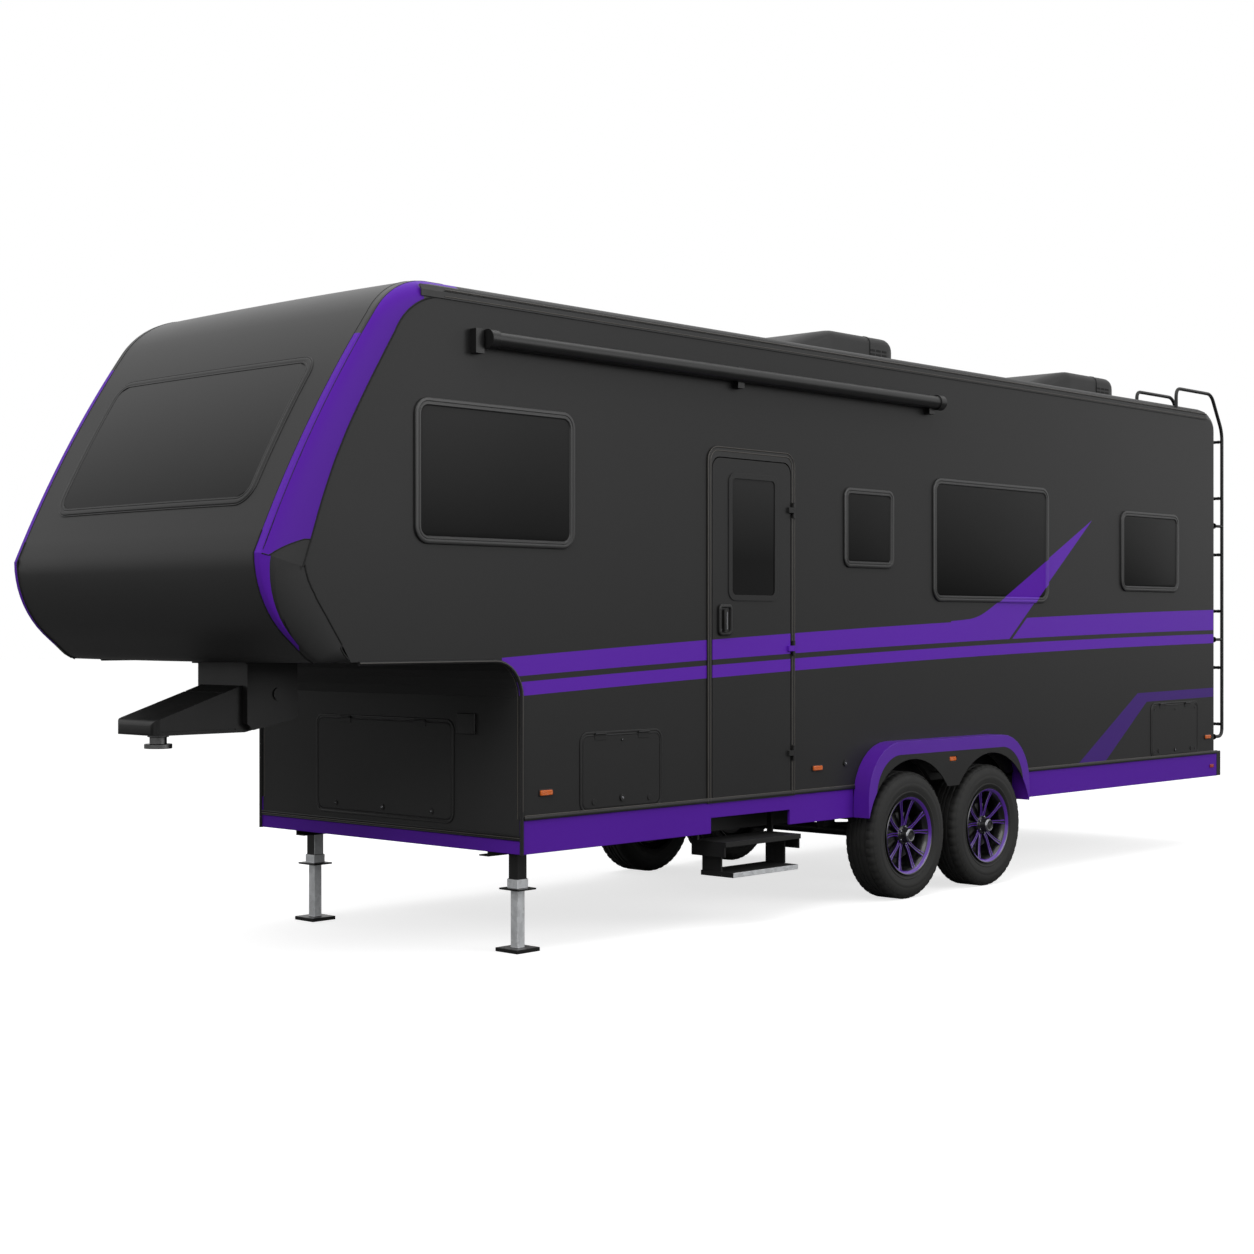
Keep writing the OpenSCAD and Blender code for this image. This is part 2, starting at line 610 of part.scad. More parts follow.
module window_ring(w) {
    grow = 0.5;
    across(half_w, half_w + frame_out) difference() {
        polygon(window_outline(w, 0));
        polygon(window_outline(w, frame_w));
    }
    across(half_w - wall_t - 4, half_w) difference() {
        polygon(window_outline(w, frame_w / 2 + grow));
        polygon(window_outline(w, frame_w));
    }
}
module window_frames() color(trim_black) placed() {
    both_sides() for (w = side_windows) window_ring(w);
    // The nose window's frame follows the face, with a neck through the cap
    difference() {
        nose_window(0, 7, hair);
        nose_window_cut(frame_w);
    }
    difference() {
        nose_window(frame_w / 2 + 0.5, 7, -wall_t);
        nose_window_cut(frame_w);
    }
}
module window_glass() color("#0c0c10") placed() {
    both_sides() for (w = side_windows)
        across(half_w + frame_out - glass_t - 3, half_w + frame_out - 3) polygon(window_outline(w, frame_w + hair));
    nose_window(frame_w + hair, 1, 1 - glass_t);
}

door_neck = 8;
door_top_z = door_foot_z + door_h;
leaf_z0 = floor_z + 4;
door_r = 70;
function leaf_outline(grow) = let (x0 = door_st + door_rim - grow, x1 = door_st + door_w - door_rim + grow,
                                   z0 = leaf_z0 - grow, z1 = leaf_z0 + leaf_h - 10 + grow)
    concat([[x0, z0], [x1, z0]], arc([x1 - door_r, z1 - door_r], door_r, 0, 90, 5),
           arc([x0 + door_r, z1 - door_r], door_r, 90, 180, 5));
module door_frame() color(trim_black) placed() {
    across(half_w, half_w + 8) difference() {
        x0 = door_st;
        x1 = door_st + door_w;
        polygon(concat([[x0, door_foot_z], [x1, door_foot_z]],
            arc([x1 - door_r - 20, door_top_z - door_r - 20], door_r + 20, 0, 90, 5),
            arc([x0 + door_r + 20, door_top_z - door_r - 20], door_r + 20, 90, 180, 5)));
        polygon(leaf_outline(door_gap / 2));
    }
    across(half_w - wall_t, half_w) difference() {
        translate([door_st + door_rim - door_neck + hair, floor_z]) square([leaf_w + 2 * door_neck - 2 * hair, leaf_h + door_neck - 2]);
        polygon(leaf_outline(door_gap / 2));
    }
    // Fixed knuckles of the hinges
    for (z = hinge_z) for (s = [-1, 1]) translate([hinge_st, hinge_y, leaf_z0 + z + s * (32 + hair)]) {
        cylinder(h = 30, d = door_hinge_d, center = true);
        box([-18, 6 - door_hinge_y, -15], [4, 0, 15]);
    }
}
door_hinge_d = 18;
door_hinge_y = 18;
hinge_clear = door_hinge_y - 8;
hinge_st = door_st + door_rim - 16;
hinge_y = half_w + door_hinge_y;
hinge_z = [250, 900, leaf_h - 300];
door_win = [door_st + 189, 1974, door_st + 626, 2708];
module entry_door() color(shell_grey) placed() {
    across(half_w - wall_t + 2, half_w - wall_t + 2 + door_t) difference() {
        polygon(leaf_outline(-door_gap / 2));
        polygon(round_rect(door_win[0], door_win[1], door_win[2], door_win[3], 40));
    }
    across(half_w - wall_t + 2 + door_t, half_w - wall_t + 8 + door_t) difference() {
        polygon(round_rect(door_win[0] - 18, door_win[1] - 18, door_win[2] + 18, door_win[3] + 18, 58));
        polygon(round_rect(door_win[0] + 16, door_win[1] + 16, door_win[2] - 16, door_win[3] - 16, 30));
    }
    for (z = hinge_z) translate([hinge_st, hinge_y, leaf_z0 + z]) {
        cylinder(h = 34, d = door_hinge_d, center = true);
        box([0, 2 - hinge_clear, -17], [52, door_hinge_d / 2 - 2, 17]);
        box([24, 6 - door_hinge_y, -17], [52, 0, 17]);
    }
}
module door_glass() color("#0c0c10") placed()
    across(half_w + 2, half_w + 2 + glass_t) polygon(round_rect(door_win[0] + hair, door_win[1] + hair,
        door_win[2] - hair, door_win[3] - hair, 40));
handle_st = door_st + door_w - door_rim - 110;
handle_z = 1745;
module door_handle() color(trim_black) placed() {
    y = half_w - wall_t + 2 + door_t + hair;
    difference() {
        across(y, y + 22) polygon(round_rect(handle_st - 75, handle_z, handle_st + 75, handle_z + 190, 30));
        across(y + 8, y + 23) polygon(round_rect(handle_st - 60, handle_z + 60, handle_st + 40, handle_z + 130, 25));
    }
    across(y + 8, y + 26) polygon(round_rect(handle_st - 60, handle_z + 78, handle_st + 30, handle_z + 112, 14));
}

// Double entry step below the door
step_st = door_st + door_w / 2;
step_half = 360;
step_upper_z = 520;
step_lower_z = 338;
step_out = half_w + 100;
tread_t = 30;
module entry_step() color(trim_black) placed() {
    box([step_st - step_half, half_w - 170, step_upper_z - tread_t], [step_st + step_half, step_out, step_upper_z]);
    box([step_st - step_half + 60, half_w - 130, step_lower_z - tread_t],
        [step_st + step_half - 40, half_w + arch_out, step_lower_z]);
    for (e = [-1, 1]) {
        x = step_st + e * (step_half - 6);
        box([x - 6, half_w - 170, step_upper_z - 90], [x + 6, step_out - 10, step_upper_z - tread_t]);
        box([x - 6 - e * 52, half_w - 130, step_lower_z], [x + 6 - e * 52, half_w + 20, step_upper_z - tread_t]);
        box([x - 8, half_w - 160, step_upper_z], [x + 8, half_w - 120, floor_z - hair]);
    }
}

// Hatches, drawn about their middle with Y outwards
hatch_neck = 5;
hatch_gap = 4;
function hatch_outline(h, grow) = round_rect(-h[2] / 2 - grow, -grow, h[2] / 2 + grow, h[3] + grow,
                                             hatch_corner_r + grow);
hinge_up = 9;
flange_t = 2;
hinge_out = flange_t + hinge_d / 2 + hair;
module hatch_ring(h) {
    across(0, flange_t) difference() {
        polygon(hatch_outline(h, hatch_rim));
        polygon(hatch_outline(h, 0));
    }
    across(-wall_t, 0) difference() {
        polygon(hatch_outline(h, hatch_neck - hair));
        polygon(hatch_outline(h, 0));
    }
}
module hatch_leaf(h) {
    across(-hatch_t, flange_t + 2) polygon(hatch_outline(h, -hatch_gap));
    for (x = [-h[2] * 0.28, h[2] * 0.28]) {
        translate([x, hinge_out, h[3] + hinge_up]) rotate([0, 90, 0]) cylinder(h = 90, d = hinge_d, center = true);
        box([x - 45, flange_t + 2, h[3] - 26], [x + 45, flange_t + 5, h[3] + hinge_up]);
    }
    for (x = [-h[2] * 0.36, h[2] * 0.36]) translate([x, flange_t + 2, 38]) rotate([-90, 0, 0])
        cylinder(h = 5, d = 34);
}
module on_left(h) translate([h[0], half_w, h[1]]) children();
module on_front(h) translate([body_l, h[0], h[1]]) rotate([0, 0, -90]) children();
module hatch_frames() color(trim_black) placed() {
    both_sides() for (h = [baggage_hatch, rear_hatch]) on_left(h) hatch_ring(h);
    on_front(front_hatch_size) hatch_ring(front_hatch_size);
}
module front_hatch() color(shell_grey) placed() on_front(front_hatch_size) hatch_leaf(front_hatch_size);
module baggage_door_left() color(shell_grey) placed() on_left(baggage_hatch) hatch_leaf(baggage_hatch);
module baggage_door_right() color(shell_grey) placed() mirror([0, 1, 0]) on_left(baggage_hatch)
    hatch_leaf(baggage_hatch);
module rear_hatch_left() color(shell_grey) placed() on_left(rear_hatch) hatch_leaf(rear_hatch);
module rear_hatch_right() color(shell_grey) placed() mirror([0, 1, 0]) on_left(rear_hatch)
    hatch_leaf(rear_hatch);

// Awning case on brackets, high on the left wall
awning_st = [body_l - 3890, body_l + 310];
awning_z = 3312;
awning_y = half_w + 58;
module awning() color(trim_black) placed() {
    translate([awning_st[0], awning_y, awning_z]) rotate([0, 90, 0])
        cylinder(h = awning_st[1] - awning_st[0], d = awning_d);
    for (e = [0, 1]) translate([awning_st[e] + (e == 0 ? -1 : -59), awning_y, awning_z]) rotate([0, 90, 0])
        cylinder(h = 60, d = awning_d + 16);
    for (x = [awning_st[0] + 90, (awning_st[0] + awning_st[1]) / 2, awning_st[1] + 40])
        box([x - 30, half_w + hair, awning_z - 80], [x + 30, awning_y - 10, awning_z + 50]);
}

// Air conditioners on the roof, as stations of their middles
cooler_st = [4090, 900];
louvre_n = 5;
louvre_pitch = 30;
louvre_h = 13;
louvre_in = 16;
module cooler(x) {
    l = cooler_l / 2;
    w = cooler_w / 2;
    seam = x - l + 290;
    difference() {
        intersection() {
            across(-w, w) polygon(concat(
                [[x - l, roof_z + hair], [x + l, roof_z + hair], [x + l, roof_z + 60]],
                arc([x + l - 70, roof_z + 80], 70, 10, 68, 3),
                bow([x + l - 44, roof_z + 145], [x + 30, roof_z + cooler_h], 12, 3),
                [[x - 90, roof_z + cooler_h - 2], [seam, roof_z + cooler_h - 26], [x - l + 80, roof_z + 224]],
                arc([x - l + 60, roof_z + 160], 60, 80, 180, 4)));
            // In plan the front draws in, and the rear is square with rounded corners
            translate([0, 0, roof_z]) linear_extrude(cooler_h) polygon(concat(
                arc([x - l + 90, w - 90], 90, 180, 90, 4), [[x + 60, w]],
                arc([x + l - 120, w * 0.62 - 90], 120, 62, 0, 4), arc([x + l - 120, 90 - w * 0.62], 120, 0, -62, 4),
                [[x + 60, -w]], arc([x - l + 90, 90 - w], 90, -90, -180, 4)));
        }
        // Seam round the louvred rear part
        for (f = [-1, 1]) box([seam, f * (w - 3) - 4, roof_z - 1], [seam + 8, f * (w - 3) + 4, roof_z + cooler_h]);
        box([seam, -w, roof_z + cooler_h - 34], [seam + 8, w, roof_z + cooler_h]);
        for (i = [0:louvre_n - 1]) {
            z = roof_z + 44 + louvre_pitch * i;
            for (f = [-1, 1]) for (p = [[-200, -125], [-95, -35]])
                box([seam + p[0] + 24, f * w - louvre_in, z], [seam + p[1] + 24, f * w + louvre_in, z + louvre_h]);
            for (y = [-195, -65, 65, 195]) if (i < louvre_n - 1)
                box([x - l - 1, y - 50, z], [x - l + louvre_in, y + 50, z + louvre_h]);
        }
    }
}
module air_conditioners() color(trim_black) placed() for (x = cooler_st) cooler(x);

// Ladder on the rear wall and its hoop over the roof's edge
ladder_y = [half_w - 30, half_w - 380];
hoop_z = roof_z + 120;
ladder_z = [868, 3420];
rung_n = 6;
module rod(a, b, d) {
    v = b - a;
    translate(a) rotate([0, acos(v[2] / norm(v)), atan2(v[1], v[0])]) cylinder(h = norm(v), d = d, $fn = 20);
}
// The space under the roof, grown by a clearance, that trims the hoop's feet
module under_roof(grow) {
    outer = section(eaves_drop, 0, corner_w);
    n = len(outer);
    along(rear_top_r, brow_c[0]) polygon(concat([[-half_w, floor_z]],
        [for (k = [1 - n:n - 1]) [sign(k) * outer[abs(k)][0], roof_z - outer[abs(k)][1] + grow]], [[half_w, floor_z]]));
}
module ladder() color(trim_black) placed() {
    x = -ladder_out;
    difference() {
        for (y = ladder_y) {
            rod([x, y, ladder_z[0]], [x, y, ladder_z[1]], ladder_d);
            for (z = [ladder_z[0] + 20, 1693, 2634]) rod([x, y, z], [-hair, y, z], ladder_d);
            rod([x, y, ladder_z[1]], [40, y, hoop_z], ladder_d);
            rod([40, y, hoop_z], [640, y, hoop_z], ladder_d);
            rod([640, y, hoop_z], [640, y, eaves_z], ladder_d);
            for (p = [[x, ladder_z[0]], [x, ladder_z[1]], [40, hoop_z], [640, hoop_z]])
                translate([p[0], y, p[1]]) sphere(d = ladder_d, $fn = 20);
        }
        under_roof(hair);
    }
    for (i = [0:rung_n - 1]) {
        z = ladder_z[0] + 120 + (ladder_z[1] - ladder_z[0] - 200) * i / (rung_n - 1);
        rod([x, ladder_y[1], z], [x, ladder_y[0], z], ladder_d - 4);
    }
}

// Amber lamps on each side, as [station, height]
function arch_lamp(grow) = round_rect(axle_st - 42 - grow, 888 - grow, axle_st + 42 + grow, 924 + grow, 8);
lamp_sites = [[body_l - 178, 895], [door_st - 234, 906], [170, 896]];
module side_lamps() color("#c4601a") placed() both_sides() {
    for (l = lamp_sites)
        across(half_w + hair, half_w + 14) polygon(round_rect(l[0] - 52, l[1] - 20, l[0] + 52, l[1] + 20, 8));
    across(half_w + arch_out - 10, half_w + arch_out) polygon(arch_lamp(0));
}
bumper_t = 62;
module tail_lamps() color("#8c1418") placed() both_sides() {
    box([-bumper_t - 22, half_w - 330, skirt_z + 30], [-bumper_t - hair, half_w - 60, floor_z - 50]);
    across(half_w + hair, half_w + 10) polygon(round_rect(70, 640, 130, 668, 6));
}
module rear_bumper() color(trim_purple) placed()
    box([-bumper_t, -half_w + 5, skirt_z], [-hair, half_w - 5, floor_z - 20]);
module utility_box() color(trim_black) placed()
    box([body_l + hair, half_w - 510, 1205], [body_l + 14, half_w - 360, 1320]);

// Tyre and wheel, turned about Y at the origin with the outer face towards +Y
module turned() rotate([-90, 0, 0]) rotate_extrude($fn = 96) children();
tyre_wall = 16;
module tyre() {
    r = tyre_d / 2;
    h = tyre_w / 2;
    b = rim_d / 2;
    turned() polygon([
        [r, -h + 42], [r, h - 42], [r - 7, h - 24], [r - 22, h - 10], [(r + b) / 2 + 12, h], [b + 22, h - 12],
        [b - 8, h - 24], [b - 8, h - 44], [b + 14, h - 40], [(r + b) / 2, h - tyre_wall], [r - 34, h - 30],
        [r - 26, 0], [r - 34, -h + 30], [(r + b) / 2, -h + tyre_wall], [b + 14, -h + 40], [b - 8, -h + 44],
        [b - 8, -h + 24], [b + 22, -h + 12], [(r + b) / 2 + 12, -h], [r - 22, -h + 10], [r - 7, -h + 24]]);
}
hub_r = 62;
spoke_t = 34;
bore_r = spindle_d / 2 + hair;
// One arm of a spoke pair, as [distance out from the hub, distance from the pair's axis, half width]
spoke_arm = [[hub_r - 8, 15, 13], [100, 21, 10.5], [140, 33, 10.5], [180, 48, 12], [rim_d / 2 - 34, 68, 16]];
module spoke_pair(a) rotate(a) for (f = [0, 1]) mirror([0, f]) polygon(concat(
    [for (s = spoke_arm) [s[0], s[1] - s[2]]],
    [for (k = [len(spoke_arm) - 1:-1:0]) [spoke_arm[k][0], spoke_arm[k][1] + spoke_arm[k][2]]]));
module wheel() {
    h = tyre_w / 2;
    b = rim_d / 2;
    face = h - 62;
    // Rim barrel with its two flanges
    turned() polygon([
        [b, h - 12], [b - 3, h - 6], [b - 12, h - 14], [b - 20, h - 44], [b - 46, h - 60], [b - 46, -h + 60],
        [b - 20, -h + 44], [b - 12, -h + 14], [b - 3, -h + 6], [b, -h + 12], [b - 9, -h + 22],
        [b - 9, -h + 46], [b - 34, -h + 68], [b - 34, h - 68], [b - 9, h - 46], [b - 9, h - 22]]);
    difference() {
        union() {
            translate([0, face + 20, 0]) rotate([90, 0, 0]) linear_extrude(spoke_t) union() {
                for (i = [0:spoke_pairs - 1]) spoke_pair(360 * i / spoke_pairs + 90);
                difference() {
                    circle(b - 22);
                    circle(b - 44);
                }
                circle(hub_r + 14);
            }
            // Hub, its cap and the brake drum
            turned() polygon([[0, h + 12], [30, h + 12], [38, h + 4], [42, face + 20], [hub_r, face + 18],
                [hub_r, face - 30], [drum_d / 2 - 20, face - 34], [drum_d / 2, face - 54], [drum_d / 2, 8 - h],
                [drum_d / 2 - 12, 8 - h], [drum_d / 2 - 12, face - 60], [0, face - 60]]);
        }
        translate([0, spindle_reach + 3, 0]) rotate([90, 0, 0]) cylinder(h = 2 * h, r = bore_r);
    }
}
module at_wheel(i, side) placed() translate([wheel_st[i], side * (tyre_out - tyre_w / 2), hub_z])
    mirror([0, side < 0 ? 1 : 0, 0]) children();
module tyre_front_left() color(trim_black) at_wheel(0, 1) tyre();
module tyre_rear_left() color(trim_black) at_wheel(1, 1) tyre();
module tyre_front_right() color(trim_black) at_wheel(0, -1) tyre();
module tyre_rear_right() color(trim_black) at_wheel(1, -1) tyre();
module wheel_front_left() color(trim_black) at_wheel(0, 1) wheel();
module wheel_rear_left() color(trim_black) at_wheel(1, 1) wheel();
module wheel_front_right() color(trim_black) at_wheel(0, -1) wheel();
module wheel_rear_right() color(trim_black) at_wheel(1, -1) wheel();

side_wall_left();
side_wall_right();
rear_wall();
roof();
nose_cap();
nose_corners();
nose_floor();
front_bulkhead();
floor();
eaves_trims();
skirts();
wheel_arches();
wheel_boxes();
chassis();
suspension();
axles();
pin_box();
kingpin();
landing_legs();
window_frames();
window_glass();
door_frame();
entry_door();
door_glass();
door_handle();
entry_step();
hatch_frames();
front_hatch();
baggage_door_left();
baggage_door_right();
rear_hatch_left();
rear_hatch_right();
awning();
air_conditioners();
ladder();
side_lamps();
tail_lamps();
rear_bumper();
utility_box();
tyre_front_left();
tyre_rear_left();
tyre_front_right();
tyre_rear_right();
wheel_front_left();
wheel_rear_left();
wheel_front_right();
wheel_rear_right();
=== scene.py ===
"""A fifth wheel trailer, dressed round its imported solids. Metres; X forward, Y left, Z up, ground at 0."""
import json
import math

import bmesh
import bpy
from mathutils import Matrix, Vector

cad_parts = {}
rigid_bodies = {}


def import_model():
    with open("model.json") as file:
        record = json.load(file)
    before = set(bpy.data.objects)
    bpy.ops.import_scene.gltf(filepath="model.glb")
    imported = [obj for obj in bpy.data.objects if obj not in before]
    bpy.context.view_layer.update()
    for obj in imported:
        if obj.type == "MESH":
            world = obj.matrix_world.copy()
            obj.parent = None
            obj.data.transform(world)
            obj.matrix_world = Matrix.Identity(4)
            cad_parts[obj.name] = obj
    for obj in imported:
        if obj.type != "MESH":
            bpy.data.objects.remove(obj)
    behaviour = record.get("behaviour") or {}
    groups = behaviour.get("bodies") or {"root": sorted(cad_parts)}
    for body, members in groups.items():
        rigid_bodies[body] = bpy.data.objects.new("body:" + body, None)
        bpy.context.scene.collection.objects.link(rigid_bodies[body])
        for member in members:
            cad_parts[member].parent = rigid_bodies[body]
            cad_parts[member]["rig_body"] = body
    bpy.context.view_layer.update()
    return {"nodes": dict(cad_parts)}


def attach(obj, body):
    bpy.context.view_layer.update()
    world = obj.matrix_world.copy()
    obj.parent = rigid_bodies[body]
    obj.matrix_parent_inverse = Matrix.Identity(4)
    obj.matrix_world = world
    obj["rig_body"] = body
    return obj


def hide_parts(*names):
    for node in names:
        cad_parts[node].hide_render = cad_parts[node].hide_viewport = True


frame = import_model()

# Driving dimensions, in mm. A station is a distance forward of the rear wall
MID = 4778.0                    # station of the frame's origin
BULKHEAD_ST = 8000.0            # the front bulkhead's outer face
DOOR_ST, DOOR_W = 5642.0, 832.0
AXLE_ST, AXLE_APART = 4060.0, 945.0
LEG_ST, LEG_Y = 7785.0, 894.0
BAGGAGE_ST, REAR_HATCH_ST = 7215.0, 722.2
HALF_W = 1150.0                 # half the body's width
LEAF_H = 4.0                    # how far the hatches' leaves stand off the walls
ROOF_Z, HOOP_Z = 3600.0, 3720.0
COOLERS = (4090.0, 900.0)       # stations of the two air conditioners' middles


def at(station):
    """Frame X, in metres, of a station in mm forward of the rear wall."""
    return (station - MID) / 1000


# Finishes
class Wire:
    """A socket's value that takes part in sums; each operator adds a Math node."""

    def __init__(self, tree, socket):
        self.tree, self.socket = tree, socket

    def math(self, operation, *values):
        return node(self.tree, "Math", {"operation": operation}, 0, dict(enumerate(values)))

    def __add__(self, other): return self.math("ADD", self, other)
    def __radd__(self, other): return self.math("ADD", other, self)
    def __sub__(self, other): return self.math("SUBTRACT", self, other)
    def __rsub__(self, other): return self.math("SUBTRACT", other, self)
    def __mul__(self, other): return self.math("MULTIPLY", self, other)
    def __rmul__(self, other): return self.math("MULTIPLY", other, self)
    def __truediv__(self, other): return self.math("DIVIDE", self, other)
    def __abs__(self): return self.math("ABSOLUTE", self)
    def least(self, other): return self.math("MINIMUM", self, other)
    def most(self, other): return self.math("MAXIMUM", self, other)
    def sine(self): return self.math("SINE", self)
    def root(self): return self.math("SQRT", self)

    def step(self, soft):
        """1 where the value is above nought, 0 where it is below, over a soft edge."""
        return (self / soft + 0.5).most(0.0).least(1.0)


def plug(tree, socket, value):
    """Links a wire to a socket, or sets the socket's value."""
    if isinstance(value, Wire):
        tree.links.new(value.socket, socket)
    elif isinstance(value, (tuple, list)) and socket.type == "RGBA":
        socket.default_value = (*value[:3], 1.0)
    else:
        socket.default_value = value


def node(tree, kind, settings, out, sockets):
    """Adds any node: its settings come first, then its sockets' values or links. Gives one output."""
    made = tree.nodes.new("ShaderNode" + kind)
    for key, value in settings.items():
        setattr(made, key, value)
    for key, value in sockets.items():
        plug(tree, made.inputs[key], value)
    return Wire(tree, made.outputs[out])


def tone(code):
    """Linear colour of a written one such as 5b2a9d."""
    parts = [int(code[i:i + 2], 16) / 255 for i in (0, 2, 4)]
    return tuple(c / 12.92 if c <= 0.04045 else ((c + 0.055) / 1.055) ** 2.4 for c in parts)


class Finish:
    """A node material whose constants sit on its own shader."""

    def __init__(self, name, color="808080", **constants):
        self.made = bpy.data.materials.new(name)
        self.made.use_nodes = True
        self.tree = self.made.node_tree
        self.shader = self.tree.nodes["Principled BSDF"]
        self.shader.inputs["Base Color"].default_value = (*tone(color), 1.0)
        self.color = tone(color)
        for key, value in constants.items():
            self.shader.inputs[key.replace("_", " ")].default_value = value
        self.place = self.add("TexCoord", out="Object")

    def add(self, kind, out=0, **sockets):
        """A node without settings of its own."""
        return node(self.tree, kind, {}, out, sockets)

    def axes(self):
        """The piece's rest coordinates along X, Y and Z, in metres."""
        split = self.add("SeparateXYZ", Vector=self.place).socket.node
        return [Wire(self.tree, socket) for socket in split.outputs]

    def noise(self, scale, detail=3.0):
        return self.add("TexNoise", Vector=self.place, Scale=scale, Detail=detail, Roughness=0.55)

    def blend(self, factor, first, second):
        """Mix of two colours."""
        return node(self.tree, "Mix", {"data_type": "RGBA"}, 2, {0: factor, 6: first, 7: second})

    def shade(self, color, amount):
        """A colour made lighter or darker by a share that changes over the surface."""
        return node(self.tree, "VectorMath", {"operation": "SCALE"}, 0, {0: color, "Scale": amount})

    def feed(self, **sockets):
        """Sets or links the shader's own sockets."""
        for key, value in sockets.items():
            plug(self.tree, self.shader.inputs[key.replace("_", " ")], value)

    def relief(self, height, distance, strength):
        """Fine relief from a height that changes over the surface."""
        self.feed(Normal=self.add("Bump", Height=height, Distance=distance, Strength=strength))
        return self


PURPLE, DEEP_PURPLE = tone("6224b4"), tone("42207a")
CHARCOAL, LINING = tone("2a2a2a"), tone("8b8478")
INNER_Y = 1.1175                # the side walls' inner faces lie nearer the middle than this, in metres


def gloss_paint(name, color, rough, coat, shine=0.5, top_highlight=0.0):
    """Sprayed panel paint: faint orange peel, uneven shade and sheen, and where asked a painted highlight
    that makes it paler towards the roof.
    """
    f = Finish(name, color, Coat_Roughness=0.12, Coat_Weight=coat, Specular_IOR_Level=shine)
    cloud, peel = f.noise(1.3), f.noise(220.0, 1.0)
    level = cloud * 0.10 + 0.95
    # A painted highlight: the paint gets paler from 2.9 m up, and dark again just under the roof
    if top_highlight:
        z = f.axes()[2]
        high = (z - 2.9).most(0.0)
        below_roof = ((3.64 - z) * 9).most(0.0).least(1.0)
        level = level + high * high * top_highlight * below_roof
    f.feed(Base_Color=f.shade(f.color, level), Roughness=cloud * 0.10 + (rough - 0.05))
    return f.relief(peel, 0.0004, 0.12)


SOFT = 2.0                                # width of a painted edge, in mm
STRIPE_W, STRIPE_GAP, LOWER_W = 107, 33, 75
STRIPE_REAR, STRIPE_FRONT = 12, 8148      # stations of the stripes' ends; the front one runs up the cove
SPEAR_TIP, SPEAR_ROOT = 2018, 3900        # stations between which the spear lies
SPEAR_TIP_Z = 2599


def side_axes(f):
    """Station and height in mm, and 1 on the side walls' outer faces."""
    x, y, z = f.axes()
    return x * 1000 + MID, z * 1000, (abs(y) - 1.13).step(0.004)


def stripe_masks(st, height):
    """Where the stripes with the spear lie, and where the spear alone lies; 1 inside."""
    s = 8016 - st
    base = 1533 + s * 0.0475 - s * s * 2.2e-6             # the upper stripe's lower edge, bowed
    top = base + STRIPE_W + s * 0.0075
    edge = SPEAR_TIP_Z + (SPEAR_TIP - st) * 0.774         # the spear's lower edge
    back = (SPEAR_TIP_Z + (SPEAR_TIP - st) * 0.49).most(1790 + (3671 - st) * 0.28)    # in two slopes
    gap = top - back
    eased = (top + back + (gap * gap + 60 ** 2).root()) * 0.5    # the back flows into the stripe
    ahead, above = (height - edge).step(SOFT), (height - base).step(SOFT)
    band = above * (top - height).step(SOFT)
    within = (SPEAR_ROOT - st).step(SOFT) * (st - SPEAR_TIP).step(SOFT)
    spear = ahead * above * (eased - height).step(SOFT) * within
    behind = band * (edge - 30 - height).step(SOFT)
    lower = (height - base + STRIPE_GAP + LOWER_W).step(SOFT) * (base - STRIPE_GAP - height).step(SOFT)
    ends = (st - STRIPE_REAR).step(SOFT) * (STRIPE_FRONT - st).step(SOFT)
    return (band * ahead).most(behind).most(spear).most(lower) * ends, spear


def swoosh_mask(st, height):
    """The darker stripe low at the rear, which bends down behind the wheels."""
    upper = (1296 - (st - 53) * 0.012).least(1281 - (st - 1318) * 0.567)
    lower = (1222 - (st - 53) * 0.01).least(1211 - (st - 1176) * 0.684)
    inside = (upper - height).step(SOFT) * (height - lower).step(SOFT)
    return inside * (st - 20).step(SOFT) * (height - 768).step(SOFT)


def striped_paint(name):
    """The side panels' charcoal paint with the two long stripes, the spear and the low swoosh."""
    f = Finish(name, Specular_IOR_Level=0.15)
    st, height, outside = side_axes(f)
    stripes, _ = stripe_masks(st, height)
    cloud, peel = f.noise(1.1), f.noise(220.0, 1.0)
    painted = f.blend(stripes * outside, f.shade(CHARCOAL, cloud * 0.12 + 0.94),
                      f.shade(PURPLE, cloud * 0.08 + 0.96))
    painted = f.blend(swoosh_mask(st, height) * outside, painted,
                      f.shade(DEEP_PURPLE, cloud * 0.08 + 0.96))
    lining = f.shade(LINING, cloud * 0.1 + 0.9)
    inner = (INNER_Y - abs(f.axes()[1])).step(0.0008)
    f.feed(Base_Color=f.blend(inner, painted, lining), Roughness=cloud * 0.08 + 0.33)
    return f.relief(peel, 0.0004, 0.12)


def moulded(name, color, rough, grain, depth=0.12):
    """Black moulded plastic or powder coat with a fine grain."""
    f = Finish(name, color, Specular_IOR_Level=0.3)
    cloud, fine = f.noise(6.0), f.noise(grain, 2.0)
    f.feed(Base_Color=f.shade(f.color, cloud * 0.3 + 0.85), Roughness=cloud * 0.16 + (rough - 0.08))
    return f.relief(fine, 0.0005, depth)


def metal(name, color, rough, metallic=1.0, spangled=False):
    """Bare metal with a faint unevenness, or zinc with its crystals."""
    f = Finish(name, color, Metallic=metallic)
    if spangled:
        level = f.add("RGBToBW", Color=f.add("TexVoronoi", "Color", Vector=f.place, Scale=60.0))
    else:
        level = f.noise(25.0)
    f.feed(Base_Color=f.shade(f.color, level * 0.2 + 0.9), Roughness=level * 0.2 + (rough - 0.1))
    return f.relief(f.noise(400.0), 0.0003, 0.1)


def dark_glass(name):
    """Tinted window glass: near black, with a painted reflection that makes it paler towards its top."""
    f = Finish(name, Specular_IOR_Level=0.05)
    # Painted reflection: the glass gets paler from 2.2 m up
    rise = ((f.axes()[2] - 2.2) * 0.9).most(0.0).least(1.0)
    f.feed(Base_Color=f.blend(rise, tone("141414"), tone("484848")),
           Roughness=f.noise(2.0) * 0.05 + 0.1)
    return f


